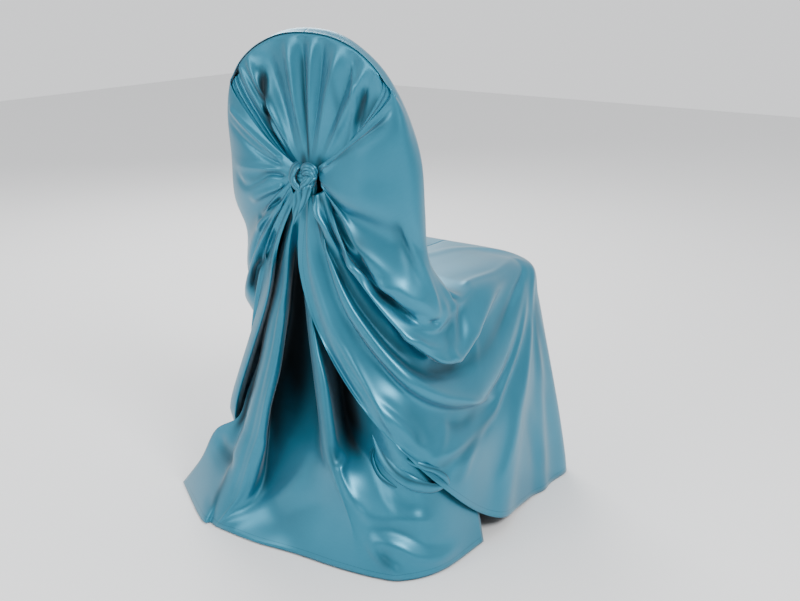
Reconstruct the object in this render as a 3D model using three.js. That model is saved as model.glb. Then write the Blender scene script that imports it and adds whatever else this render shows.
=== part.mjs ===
// Chair cover with sash: a satin self-tie cover as it hangs on a banquet chair.
// Millimetres, +Z up. The sitter faces -Y, the sitter's right is -X.
import * as THREE from "three";

const CLOTH = 2.0;          // thickness of the sheet solids
const GAP = 0.5;            // play between two pieces that lie on each other
const LAP = 8.0;            // how far the crown seam laps over the back panel
const STEPS_U = 4;          // facets between two stations of the front sheet
const STEPS_W = 2;          // facets between two fold lines of the front sheet

// Front sheet. One row for each fold line, running from the knot round the chair
// to the middle of the front. Columns are stations along that way:
// knot, inner, back, corner, rear, side, fore, bend, front; each is [x, y, z].
const RIGHT = {
  seam:      [[-36,273,708],[-82,273,740],[-130,270,782],[-180,261,835],[-168,262,858],[-144,262,884],[-106,261,908],[-56,259,924],[0,258,929]],
  crown:     [[-38,275,703],[-84,277,728],[-133,275,762],[-187,258,806],[-184,240,824],[-152,236,869],[-106,236,905],[-58,237,927],[0,238,934]],
  brow:      [[-40,276,698],[-86,279,713],[-137,277,737],[-194,256,768],[-196,226,778],[-170,206,808],[-124,205,858],[-66,205,893],[0,205,905]],
  wing:      [[-41,277,692],[-88,281,692],[-140,276,700],[-200,248,708],[-208,215,715],[-188,196,735],[-140,194,770],[-72,195,795],[0,196,800]],
  wing_low:  [[-42,277,686],[-88,281,664],[-140,275,650],[-204,240,630],[-209,205,625],[-187,184,640],[-135,182,655],[-70,183,668],[0,184,672]],
  nape:      [[-42,275,681],[-84,270,640],[-133,258,612],[-198,230,575],[-210,196,560],[-184,174,560],[-132,170,560],[-70,170,562],[0,170,565]],
  swag_a:    [[-41,276,676],[-88,278,632],[-130,274,566],[-198,250,490],[-232,198,462],[-220,120,474],[-170,125,481],[-80,128,480],[0,130,480]],
  tuck_a:    [[-40,275,671],[-84,272,606],[-135,262,532],[-206,238,452],[-230,172,422],[-222,60,470],[-165,50,480],[-80,50,480],[0,50,481]],
  swag_a_low:[[-38,276,666],[-80,278,590],[-140,280,508],[-224,246,412],[-256,152,372],[-238,16,452],[-190,-50,477],[-100,-50,480],[0,-50,480]],
  shade_a:   [[-35,274,662],[-64,261,581],[-126,247,490],[-200,214,394],[-223,132,358],[-228,0,414],[-206,-130,468],[-110,-145,478],[0,-145,479]],
  swag_b:    [[-29,276,659],[-56,278,560],[-112,282,455],[-222,262,350],[-262,140,288],[-254,10,310],[-230,-120,436],[-186,-196,465],[0,-216,466]],
  tuck_b:    [[-22,274,657],[-40,264,550],[-98,268,436],[-204,254,326],[-246,150,262],[-248,24,264],[-240,-120,360],[-200,-208,402],[0,-228,400]],
  roll_b:    [[-15,276,655],[-20,276,530],[-90,288,392],[-200,290,290],[-268,190,205],[-268,40,190],[-256,-120,280],[-213,-224,302],[0,-240,300]],
  flat_b:    [[-8,274,654],[-6,272,512],[-66,282,380],[-184,292,270],[-270,205,165],[-276,50,110],[-268,-110,150],[-235,-242,162],[0,-254,160]],
  hem:       [[1,275,652],[12,274,520],[-45,284,398],[-160,298,284],[-264,236,160],[-286,80,36],[-280,-100,3],[-254,-262,3],[0,-268,3]],
};

// The same fold lines on the sitter's left, where they lie differently.
const LEFT = {
  seam:      [[18,273,708],[72,273,742],[124,270,786],[168,262,830],[160,263,852],[138,263,880],[102,261,906],[54,259,924],[0,258,929]],
  crown:     [[20,275,703],[76,277,728],[129,274,764],[179,259,800],[184,240,824],[152,236,869],[106,236,905],[58,237,927],[0,238,934]],
  brow:      [[22,276,698],[78,279,712],[135,276,736],[186,255,765],[192,228,778],[170,206,808],[124,205,858],[66,205,893],[0,205,905]],
  wing:      [[23,277,692],[80,281,690],[138,274,696],[190,246,702],[202,215,712],[186,196,735],[140,194,770],[72,195,795],[0,196,800]],
  wing_low:  [[24,277,686],[80,280,662],[138,272,644],[194,238,622],[204,205,622],[184,184,640],[135,182,655],[70,183,668],[0,184,672]],
  nape:      [[24,275,681],[76,268,638],[131,252,600],[182,222,560],[198,192,552],[182,174,560],[132,170,560],[70,170,562],[0,170,565]],
  swag_a:    [[24,276,676],[80,276,624],[126,262,566],[176,230,505],[216,180,464],[218,120,474],[170,125,481],[80,128,480],[0,130,480]],
  tuck_a:    [[24,275,671],[80,270,604],[130,252,540],[180,220,470],[222,160,440],[220,60,470],[165,50,480],[80,50,480],[0,50,481]],
  swag_a_low:[[23,276,668],[78,275,591],[134,264,512],[196,220,430],[240,150,404],[236,16,452],[190,-50,477],[100,-50,480],[0,-50,480]],
  shade_a:   [[22,275,665],[79,266,584],[130,248,488],[176,206,368],[216,120,350],[228,0,412],[206,-130,468],[110,-145,478],[0,-145,479]],
  swag_b:    [[21,275,662],[78,271,577],[125,260,476],[172,234,342],[228,140,292],[254,10,310],[230,-120,436],[186,-196,465],[0,-216,466]],
  tuck_b:    [[20,275,659],[76,269,570],[121,256,462],[178,238,288],[234,165,240],[256,30,240],[240,-120,360],[200,-208,402],[0,-228,400]],
  roll_b:    [[18,275,656],[73,267,563],[114,264,444],[203,264,226],[236,200,190],[272,50,170],[256,-120,280],[213,-224,302],[0,-240,300]],
  flat_b:    [[16,275,653],[66,273,560],[93,276,440],[176,280,230],[232,228,120],[306,160,50],[280,-90,120],[235,-242,162],[0,-254,160]],
  hem:       [[14,275,650],[62,270,556],[105,254,430],[184,263,203],[216,244,50],[318,228,3],[300,-20,3],[254,-262,3],[0,-268,3]],
};

// Soft upright pleats of the skirt below the seat. at: station of the front sheet
// (4 rear .. 8 front), fan: how far the pleat wanders towards the front at the hem.
const PLEATS = [
  { side: -1, at: 6.00, fan: -0.85, wide: 0.26, high: 12 },
  { side: -1, at: 6.10, fan:  0.05, wide: 0.14, high: 9 },
  { side: -1, at: 6.25, fan:  0.45, wide: 0.16, high: 9 },
  { side: -1, at: 7.30, fan:  0.00, wide: 0.14, high: 10 },
  { side: -1, at: 7.72, fan: -0.05, wide: 0.12, high: 9 },
  { side:  1, at: 6.00, fan: -0.60, wide: 0.24, high: 12 },
  { side:  1, at: 6.30, fan:  0.30, wide: 0.18, high: 10 },
  { side:  1, at: 7.25, fan:  0.05, wide: 0.14, high: 10 },
  { side:  1, at: 7.66, fan:  0.04, wide: 0.12, high: 9 },
];

// Pleats of the back panel above the knot. at: place across the panel (-1 right,
// 1 left), wide: half width in the same measure, high: outward in mm.
const GATHERS = [
  { at: -0.66, wide: 0.06, high:  8 },
  { at: -0.50, wide: 0.05, high: -5 },
  { at: -0.34, wide: 0.07, high:  9 },
  { at: -0.17, wide: 0.04, high: -5 },
  { at: -0.08, wide: 0.05, high:  8 },
  { at:  0.03, wide: 0.04, high: -5 },
  { at:  0.15, wide: 0.07, high: 10 },
  { at:  0.42, wide: 0.10, high: -9 },
  { at:  0.64, wide: 0.05, high:  9 },
  { at:  0.80, wide: 0.04, high:  6 },
];

// Back panel below the knot. One row for each fold line from the right edge to
// the left; columns are levels, each [x, y] at the height in LEVELS.
const LEVELS = [690, 665, 625, 560, 480, 400, 320, 250, 200, 160, 80, 3];
const SKIRT = {
  edge_right:  [[-29,264],[-24,263],[-21,261],[-28,258],[-92,252],[-142,246],[-196,232],[-230,209],[-247,183],[-258,160],[-272,120],[-292,122]],
  pool:        [[-25,265],[-20,264],[-16,262],[-18,260],[-60,262],[-104,268],[-152,278],[-190,282],[-216,277],[-238,268],[-270,252],[-284,248]],
  valley_right:[[-21,266],[-16,264],[-11,261],[8,250],[7,228],[-21,220],[-38,222],[-61,236],[-96,256],[-153,284],[-216,312],[-246,318]],
  ridge_right: [[-17,266],[-12,265],[-5,263],[7,262],[-3,266],[-28,280],[-58,294],[-79,306],[-91,314],[-112,322],[-154,332],[-196,340]],
  lip_right:   [[-13,266],[-7.5,264],[1,262],[17,256],[19,254],[0,268],[-24,284],[-47,300],[-64,312],[-89,322],[-129,334],[-120,352]],
  floor_right: [[-9.5,265],[-3,263],[7,260],[30,246],[37,226],[32,218],[20,218],[4,240],[-11,272],[-16,298],[-3,326],[-30,358]],
  floor_left:  [[-6,265],[1,263],[13,260],[38,246],[66,228],[84,219],[106,219],[124,224],[126,236],[108,262],[85,304],[62,370]],
  lip_mid:     [[-2.5,266],[5,264],[19,262],[39,254],[48,258],[53,268],[58,282],[71,296],[75,306],[76,316],[101,334],[148,370]],
  ridge_mid:   [[1,266],[9,265],[25,264],[41,266],[45,276],[58,287],[67,300],[77,312],[87,320],[100,328],[126,344],[164,368]],
  lip_left:    [[4.5,266],[13,264],[30,262],[53,262],[68,266],[87,276],[98,290],[114,302],[126,311],[140,320],[162,338],[178,364]],
  valley_left: [[7.5,265],[17,263],[35,260],[60,252],[92,245],[115,248],[126,262],[140,274],[150,284],[164,294],[191,322],[204,364]],
  edge_left:   [[11,263.5],[21.5,261.5],[40,258],[70,247],[107,236],[130,238],[140,246],[158,264],[168,284],[225,290],[279,282],[346,273]],
};

const bump = (d, w) => Math.exp(-(d * d) / (w * w));
const smooth = (a, b, x) => { const t = Math.min(1, Math.max(0, (x - a) / (b - a))); return t * t * (3 - 2 * t); };

// Catmull-Rom through a list of values, s counted in list steps.
function along(list, s, pick) {
  const n = list.length - 1;
  const i = Math.min(n - 1, Math.max(0, Math.floor(s)));
  const t = s - i;
  const g = (k) => pick(list[Math.min(n, Math.max(0, k))]);
  const p1 = g(i), p2 = g(i + 1);
  const p0 = i > 0 ? g(i - 1) : 2 * p1 - p2;
  const p3 = i + 1 < n ? g(i + 2) : 2 * p2 - p1;
  return 0.5 * (2 * p1 + (p2 - p0) * t + (2 * p0 - 5 * p1 + 4 * p2 - p3) * t * t + (3 * p1 - p0 - 3 * p2 + p3) * t * t * t);
}

// A closed sheet of even thickness round a grid of middle points.
function sheet(nu, nv, at, thick) {
  const mid = [];
  for (let j = 0; j <= nv; j++) for (let i = 0; i <= nu; i++) mid.push(at(i / nu, j / nv));
  const id = (i, j) => j * (nu + 1) + i;
  const normals = mid.map(() => new THREE.Vector3());
  for (let j = 0; j < nv; j++) for (let i = 0; i < nu; i++) {
    const a = mid[id(i, j)], b = mid[id(i + 1, j)], c = mid[id(i + 1, j + 1)], d = mid[id(i, j + 1)];
    const n = new THREE.Vector3().crossVectors(c.clone().sub(a), d.clone().sub(b));
    for (const k of [id(i, j), id(i + 1, j), id(i + 1, j + 1), id(i, j + 1)]) normals[k].add(n);
  }
  const pos = [];
  for (const s of [0.5, -0.5]) mid.forEach((p, k) => {
    const q = p.clone().addScaledVector(normals[k].clone().normalize(), s * thick);
    pos.push(q.x, q.y, q.z);
  });
  const half = mid.length, index = [];
  const quad = (a, b, c, d) => index.push(a, b, c, a, c, d);
  for (let j = 0; j < nv; j++) for (let i = 0; i < nu; i++) {
    quad(id(i, j), id(i + 1, j), id(i + 1, j + 1), id(i, j + 1));
    quad(half + id(i, j), half + id(i, j + 1), half + id(i + 1, j + 1), half + id(i + 1, j));
  }
  for (let i = 0; i < nu; i++) {
    quad(id(i + 1, 0), id(i, 0), half + id(i, 0), half + id(i + 1, 0));
    quad(id(i, nv), id(i + 1, nv), half + id(i + 1, nv), half + id(i, nv));
  }
  for (let j = 0; j < nv; j++) {
    quad(id(0, j), id(0, j + 1), half + id(0, j + 1), half + id(0, j));
    quad(id(nu, j + 1), id(nu, j), half + id(nu, j), half + id(nu, j + 1));
  }
  const g = new THREE.BufferGeometry();
  g.setAttribute("position", new THREE.Float32BufferAttribute(pos, 3));
  g.setIndex(index);
  return g;
}

// Front sheet: u runs from the right end at the knot round the front to the left
// end at the knot, w from the crown seam down to the hem.
const NAMES = Object.keys(RIGHT);
const STATIONS = RIGHT.seam.length;
function frontAt(u, w) {
  const span = 2 * (STATIONS - 1), s = u * span;
  const row = (name) => {
    const line = [...RIGHT[name], ...LEFT[name].slice(0, -1).reverse()];
    return new THREE.Vector3(along(line, s, (p) => p[0]), along(line, s, (p) => p[1]), along(line, s, (p) => p[2]));
  };
  const rows = NAMES.map(row);
  const t = w * (NAMES.length - 1);
  const p = new THREE.Vector3(along(rows, t, (q) => q.x), along(rows, t, (q) => q.y), along(rows, t, (q) => q.z));
  const side = s <= span / 2 ? -1 : 1;
  const station = side < 0 ? s : span - s;
  const fall = smooth(NAMES.indexOf("swag_b"), NAMES.length - 1, t);
  let push = 0;
  for (const f of PLEATS) if (f.side === side) push += f.high * fall * bump(station - f.at - f.fan * fall, f.wide);
  if (push !== 0) {
    const out = new THREE.Vector3(p.x / 270, p.y / 270, 0).normalize();
    p.addScaledVector(out, push);
  }
  return p;
}

// The seam over the crown, a from -1 (right) to 1 (left): its place on the front
// sheet, the lapped place beside it and the way out of the cloth there.
function seamAt(a) {
  const s = 3.7 + (1 - Math.abs(a)) * 4.3, u = (a < 0 ? s : 2 * (STATIONS - 1) - s) / (2 * (STATIONS - 1));
  const at = frontAt(u, 0), step = 0.004;
  const down = frontAt(u, step).sub(at), across = frontAt(u + step, 0).sub(at);
  const out = new THREE.Vector3().crossVectors(across, down).normalize();
  if (out.y + out.z < 0) out.negate();
  // square to the seam: take the part along the seam out of the way down
  const slip = down.dot(across) / across.lengthSq();
  const k = LAP / down.clone().addScaledVector(across, -slip).length();
  const lap = frontAt(u - slip * k * step, step * k);
  return { at, lap, out };
}

// Back panel: across from the right edge to the left one, down from the seam.
const FAN = [0, 0.06, 0.2, 0.38, 0.58, 0.78];
const LINES = Object.values(SKIRT);
// Side edges of the fan, tucked inside the hood behind the wings, from the top.
const POCKET = {
  right: [[-154,243,852],[-157,245,843],[-159,245,826],[-150,247,800],[-124,252,762],[-90,258,729],[-60,262,706]],
  left:  [[146,243,848],[149,245,839],[151,245,823],[143,247,798],[112,252,762],[76,258,729],[42,262,706]],
};
function panelAt(u, w) {
  const a = 2 * u - 1, lines = u * (LINES.length - 1);
  const skirt = (k) => new THREE.Vector3(along(LINES, lines, (p) => p[k][0]), along(LINES, lines, (p) => p[k][1]), LEVELS[k]);
  const knotEnd = skirt(0), seam = seamAt(a);
  const off = -(CLOTH + GAP + 0.8), tuck = smooth(0.78, 1, Math.abs(a));
  const under = seam.at.clone().addScaledVector(seam.out, off);
  const levels = [seam.lap.clone().addScaledVector(seam.out, off - 0.3)];
  for (const q of FAN) {
    const p = under.clone().lerp(knotEnd, q);
    p.z -= 60 * q * (1 - q) * Math.pow(Math.abs(a), 3);
    p.y -= 10 * Math.sin(Math.PI * q) * Math.pow(Math.abs(a), 4);
    levels.push(p);
  }
  const rim = a < 0 ? POCKET.right : POCKET.left;
  levels.forEach((p, k) => p.lerp(new THREE.Vector3(...rim[k]), tuck));
  for (let k = 0; k < LEVELS.length; k++) levels.push(skirt(k));
  const s = w * (levels.length - 1);
  const p = new THREE.Vector3(along(levels, s, (q) => q.x), along(levels, s, (q) => q.y), along(levels, s, (q) => q.z));
  const open = smooth(1, 3, s) * (1 - smooth(4, FAN.length + 0.5, s));
  for (const f of GATHERS) p.y += f.high * open * bump(a - f.at, f.wide);
  return p;
}

// Tight knot: a lump with lobes, sunk a little where the wings run into it.
const KNOT = { x: -9, y: 281.8, z: 685, wide: 32, deep: 14, tall: 26 };
function knot(nu, nv) {
  const pos = [], index = [];
  const at = (i, j) => {
    const a = (i / nu) * 2 * Math.PI, b = (j / nv) * Math.PI;
    const lobes = 1 + 0.1 * Math.cos(3 * a + 0.6) * Math.sin(b) + 0.06 * Math.sin(5 * a + 3 * b) * Math.sin(b);
    return [KNOT.x + KNOT.wide * lobes * Math.sin(b) * Math.cos(a), KNOT.y + KNOT.deep * Math.cos(b), KNOT.z + KNOT.tall * lobes * Math.sin(b) * Math.sin(a)];
  };
  pos.push(...at(0, 0));
  for (let j = 1; j < nv; j++) for (let i = 0; i < nu; i++) pos.push(...at(i, j));
  pos.push(...at(0, nv));
  const last = 1 + (nv - 1) * nu, id = (i, j) => 1 + (j - 1) * nu + (i % nu);
  for (let i = 0; i < nu; i++) { index.push(0, id(i + 1, 1), id(i, 1)); index.push(last, id(i, nv - 1), id(i + 1, nv - 1)); }
  for (let j = 1; j < nv - 1; j++) for (let i = 0; i < nu; i++) index.push(id(i, j), id(i + 1, j), id(i + 1, j + 1), id(i, j), id(i + 1, j + 1), id(i, j + 1));
  const g = new THREE.BufferGeometry();
  g.setAttribute("position", new THREE.Float32BufferAttribute(pos, 3));
  g.setIndex(index);
  return g;
}

// Free ends of the sash: flat, pointed, hanging from under the knot.
const TAILS = [
  { name: "tail_left",  x: 3,   top: 660.6, tip_x: 12, tip_z: 600, wide: 20, back: 281.5, tip_back: 278.5, curl: 3 },
  { name: "tail_right", x: -19, top: 657.9, tip_x: -8, tip_z: 612, wide: 16, back: 281.5, tip_back: 279.5, curl: -3 },
];
function tail(f) {
  return sheet(6, 10, (u, v) => {
    const half = 0.5 * f.wide * (1 - 0.9 * Math.pow(v, 1.6)), c = 2 * u - 1;
    return new THREE.Vector3(f.x + (f.tip_x - f.x) * v + c * half, f.back + (f.tip_back - f.back) * v + f.curl * (c * c - 0.4) * (1 - v), f.top + (f.tip_z - f.top) * v);
  }, CLOTH);
}

const group = new THREE.Group();
group.name = "chair_cover_with_sash";
const MATS = { color: 0x3c8caa, roughness: 0.4 };
function add(name, geometry) {
  geometry.computeVertexNormals();
  const mesh = new THREE.Mesh(geometry, new THREE.MeshStandardMaterial({ ...MATS, name: name + "_satin" }));
  mesh.name = name;
  group.add(mesh);
}
add("front_sheet", sheet(STEPS_U * 2 * (STATIONS - 1), STEPS_W * (NAMES.length - 1), frontAt, CLOTH));
add("back_panel", sheet(55, 36, panelAt, CLOTH));
add("knot", knot(24, 14));
for (const f of TAILS) add(f.name, tail(f));

// Origin on the floor under the middle of the cover.
const box = new THREE.Box3().setFromObject(group);
const middle = new THREE.Vector3((box.min.x + box.max.x) / 2, (box.min.y + box.max.y) / 2, box.min.z);
group.traverse((o) => { if (o.isMesh) o.geometry.translate(-middle.x, -middle.y, -middle.z); });
export default group;
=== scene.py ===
"""Chair cover with sash: teal satin as it hangs on a banquet chair.

A fitted hood and skirt in one front sheet, a gathered back panel, and the two
sash ends drawn into a tight knot behind the chair. Lengths in the tables are
millimetres in the chair's own frame: the origin on the floor under the middle of
the seat, the sitter facing -Y. PLACE moves that frame into the row's frame. Creases that the
camera sees are listed by their places in its view, and laid_on finds them on the
sheets.
"""

import math
from collections import namedtuple

import bpy
import numpy as np
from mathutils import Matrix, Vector
from mathutils.bvhtree import BVHTree


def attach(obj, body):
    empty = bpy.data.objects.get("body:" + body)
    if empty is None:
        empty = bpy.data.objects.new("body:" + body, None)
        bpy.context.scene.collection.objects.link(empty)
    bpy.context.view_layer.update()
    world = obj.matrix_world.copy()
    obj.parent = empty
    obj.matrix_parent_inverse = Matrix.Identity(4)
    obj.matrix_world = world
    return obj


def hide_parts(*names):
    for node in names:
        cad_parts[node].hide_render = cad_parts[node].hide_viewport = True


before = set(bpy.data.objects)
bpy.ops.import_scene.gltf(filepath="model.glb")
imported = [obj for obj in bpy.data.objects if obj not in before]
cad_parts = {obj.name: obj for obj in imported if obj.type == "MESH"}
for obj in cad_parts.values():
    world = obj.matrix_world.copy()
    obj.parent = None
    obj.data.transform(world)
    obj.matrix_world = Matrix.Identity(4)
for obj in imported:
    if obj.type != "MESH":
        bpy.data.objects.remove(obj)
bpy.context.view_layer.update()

bl_info = {
    "name": "Satin chair cover with sash",
    "version": (1, 0, 0),
    "blender": (4, 5, 0),
    "location": "View3D > Sidebar > Chair cover",
    "description": "Satin self-tie chair cover: front sheet, back panel, knot and sash ends",
    "category": "Object",
}

PLACE = np.array([-24.146, -41.647, 0.655])
MM = 0.001           # one millimetre, in m

# The camera: where it stands in m, how far it is turned to its left and tipped
# down in rad, and its lens and sensor in mm.
EYE = (-1.226516, 1.657663, 1.052195)
TURN = 0.60980
TIP = 0.30673
SENSOR = 36.0
LENS = 49.08
# Its view is 800 x 601 units from the top left. VIEW_LENS is the lens in those
# units, LENS * 800 / SENSOR to within 0.2 of a unit.
VIEW_MIDDLE = (400, 300.5)
VIEW_LENS = 1090.77

# Front sheet. One row for each fold line, running from the knot round the chair
# to the middle of the front. Columns are stations along that way:
# knot, inner, back, corner, rear, side, fore, bend, front; each is [x, y, z].
RIGHT = {
    "seam": [
        [-36, 273, 708], [-82, 273, 740], [-130, 270, 782], [-180, 261, 835], [-168, 262, 858],
        [-144, 262, 884], [-106, 261, 908], [-56, 259, 924], [0, 258, 929]],
    "crown": [
        [-38, 275, 703], [-84, 277, 728], [-133, 275, 762], [-187, 258, 806], [-184, 240, 824],
        [-152, 236, 869], [-106, 236, 905], [-58, 237, 927], [0, 238, 934]],
    "brow": [
        [-40, 276, 698], [-86, 279, 713], [-137, 277, 737], [-194, 256, 768], [-196, 226, 778],
        [-170, 206, 808], [-124, 205, 858], [-66, 205, 893], [0, 205, 905]],
    "wing": [
        [-41, 277, 692], [-88, 281, 692], [-140, 276, 700], [-200, 248, 708], [-208, 215, 715],
        [-188, 196, 735], [-140, 194, 770], [-72, 195, 795], [0, 196, 800]],
    "wing_low": [
        [-42, 277, 686], [-88, 281, 664], [-140, 275, 650], [-204, 240, 630], [-209, 205, 625],
        [-187, 184, 640], [-135, 182, 655], [-70, 183, 668], [0, 184, 672]],
    "nape": [
        [-42, 275, 681], [-84, 270, 640], [-133, 258, 612], [-198, 230, 575], [-210, 196, 560],
        [-184, 174, 560], [-132, 170, 560], [-70, 170, 562], [0, 170, 565]],
    "swag_a": [
        [-41, 276, 676], [-88, 278, 632], [-130, 274, 566], [-198, 250, 490], [-232, 198, 462],
        [-220, 120, 474], [-170, 125, 481], [-80, 128, 480], [0, 130, 480]],
    "tuck_a": [
        [-40, 275, 671], [-84, 272, 606], [-135, 262, 532], [-206, 238, 452], [-230, 172, 422],
        [-222, 60, 470], [-165, 50, 480], [-80, 50, 480], [0, 50, 481]],
    "swag_a_low": [
        [-38, 276, 666], [-80, 278, 590], [-140, 280, 508], [-224, 246, 412], [-256, 152, 372],
        [-238, 16, 452], [-190, -50, 477], [-100, -50, 480], [0, -50, 480]],
    "shade_a": [
        [-35, 274, 662], [-64, 261, 581], [-126, 247, 490], [-200, 214, 394], [-223, 132, 358],
        [-228, 0, 414], [-206, -130, 468], [-110, -145, 478], [0, -145, 479]],
    "swag_b": [
        [-29, 276, 659], [-56, 278, 560], [-112, 282, 455], [-222, 262, 350], [-262, 140, 288],
        [-254, 10, 310], [-230, -120, 436], [-186, -196, 465], [0, -216, 466]],
    "tuck_b": [
        [-22, 274, 657], [-40, 264, 550], [-98, 268, 436], [-204, 254, 326], [-246, 150, 262],
        [-248, 24, 264], [-240, -120, 360], [-200, -208, 402], [0, -228, 400]],
    "roll_b": [
        [-15, 276, 655], [-20, 276, 530], [-90, 288, 392], [-200, 290, 290], [-268, 190, 205],
        [-268, 40, 190], [-256, -120, 280], [-213, -224, 302], [0, -240, 300]],
    "flat_b": [
        [-8, 274, 654], [-6, 272, 512], [-66, 282, 380], [-184, 292, 270], [-270, 205, 165],
        [-276, 50, 110], [-268, -110, 150], [-235, -242, 162], [0, -254, 160]],
    "hem": [
        [1, 275, 652], [12, 274, 520], [-45, 284, 398], [-160, 298, 284], [-264, 236, 160],
        [-286, 80, 36], [-280, -100, 3], [-254, -262, 3], [0, -268, 3]],
}

# The same fold lines on the sitter's left, where they lie differently.
LEFT = {
    "seam": [
        [18, 273, 708], [72, 273, 742], [124, 270, 786], [168, 262, 830], [160, 263, 852],
        [138, 263, 880], [102, 261, 906], [54, 259, 924], [0, 258, 929]],
    "crown": [
        [20, 275, 703], [76, 277, 728], [129, 274, 764], [179, 259, 800], [184, 240, 824],
        [152, 236, 869], [106, 236, 905], [58, 237, 927], [0, 238, 934]],
    "brow": [
        [22, 276, 698], [78, 279, 712], [135, 276, 736], [186, 255, 765], [192, 228, 778],
        [170, 206, 808], [124, 205, 858], [66, 205, 893], [0, 205, 905]],
    "wing": [
        [23, 277, 692], [80, 281, 690], [138, 274, 696], [190, 246, 702], [202, 215, 712],
        [186, 196, 735], [140, 194, 770], [72, 195, 795], [0, 196, 800]],
    "wing_low": [
        [24, 277, 686], [80, 280, 662], [138, 272, 644], [194, 238, 622], [204, 205, 622],
        [184, 184, 640], [135, 182, 655], [70, 183, 668], [0, 184, 672]],
    "nape": [
        [24, 275, 681], [76, 268, 638], [131, 252, 600], [182, 222, 560], [198, 192, 552],
        [182, 174, 560], [132, 170, 560], [70, 170, 562], [0, 170, 565]],
    "swag_a": [
        [24, 276, 676], [80, 276, 624], [126, 262, 566], [176, 230, 505], [216, 180, 464],
        [218, 120, 474], [170, 125, 481], [80, 128, 480], [0, 130, 480]],
    "tuck_a": [
        [24, 275, 671], [80, 270, 604], [130, 252, 540], [180, 220, 470], [222, 160, 440],
        [220, 60, 470], [165, 50, 480], [80, 50, 480], [0, 50, 481]],
    "swag_a_low": [
        [23, 276, 668], [78, 275, 591], [134, 264, 512], [196, 220, 430], [240, 150, 404],
        [236, 16, 452], [190, -50, 477], [100, -50, 480], [0, -50, 480]],
    "shade_a": [
        [22, 275, 665], [79, 266, 584], [130, 248, 488], [176, 206, 368], [216, 120, 350],
        [228, 0, 412], [206, -130, 468], [110, -145, 478], [0, -145, 479]],
    "swag_b": [
        [21, 275, 662], [78, 271, 577], [125, 260, 476], [172, 234, 342], [228, 140, 292],
        [254, 10, 310], [230, -120, 436], [186, -196, 465], [0, -216, 466]],
    "tuck_b": [
        [20, 275, 659], [76, 269, 570], [121, 256, 462], [178, 238, 288], [234, 165, 240],
        [256, 30, 240], [240, -120, 360], [200, -208, 402], [0, -228, 400]],
    "roll_b": [
        [18, 275, 656], [73, 267, 563], [114, 264, 444], [203, 264, 226], [236, 200, 190],
        [272, 50, 170], [256, -120, 280], [213, -224, 302], [0, -240, 300]],
    "flat_b": [
        [16, 275, 653], [66, 273, 560], [93, 276, 440], [176, 280, 230], [232, 228, 120],
        [306, 160, 50], [280, -90, 120], [235, -242, 162], [0, -254, 160]],
    "hem": [
        [14, 275, 650], [62, 270, 556], [105, 254, 430], [184, 263, 203], [216, 244, 50], [318, 228, 3],
        [300, -20, 3], [254, -262, 3], [0, -268, 3]],
}

# Soft upright pleats of the skirt below the seat. at: station of the front sheet
# (4 rear .. 8 front), fan: how far the pleat wanders towards the front at the hem.
PLEATS = [
    {"side": -1, "at": 6.00, "fan": -0.85, "wide": 0.26, "high": 12},
    {"side": -1, "at": 6.10, "fan":  0.05, "wide": 0.14, "high": 9},
    {"side": -1, "at": 6.25, "fan":  0.45, "wide": 0.16, "high": 9},
    {"side": -1, "at": 7.30, "fan":  0.00, "wide": 0.14, "high": 10},
    {"side": -1, "at": 7.72, "fan": -0.05, "wide": 0.12, "high": 9},
    {"side":  1, "at": 6.00, "fan": -0.60, "wide": 0.24, "high": 12},
    {"side":  1, "at": 6.30, "fan":  0.30, "wide": 0.18, "high": 10},
    {"side":  1, "at": 7.25, "fan":  0.05, "wide": 0.14, "high": 10},
    {"side":  1, "at": 7.66, "fan":  0.04, "wide": 0.12, "high": 9},
]

# Pleats of the back panel above the knot. at: place across the panel (-1 right,
# 1 left), wide: half width in the same measure, high: outward in mm.
GATHERS = [
    {"at": -0.66, "wide": 0.06, "high":  8},
    {"at": -0.50, "wide": 0.05, "high": -5},
    {"at": -0.34, "wide": 0.07, "high":  9},
    {"at": -0.17, "wide": 0.04, "high": -5},
    {"at": -0.08, "wide": 0.05, "high":  8},
    {"at":  0.03, "wide": 0.04, "high": -5},
    {"at":  0.15, "wide": 0.07, "high": 10},
    {"at":  0.42, "wide": 0.10, "high": -9},
    {"at":  0.64, "wide": 0.05, "high":  9},
    {"at":  0.80, "wide": 0.04, "high":  6},
]

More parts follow.
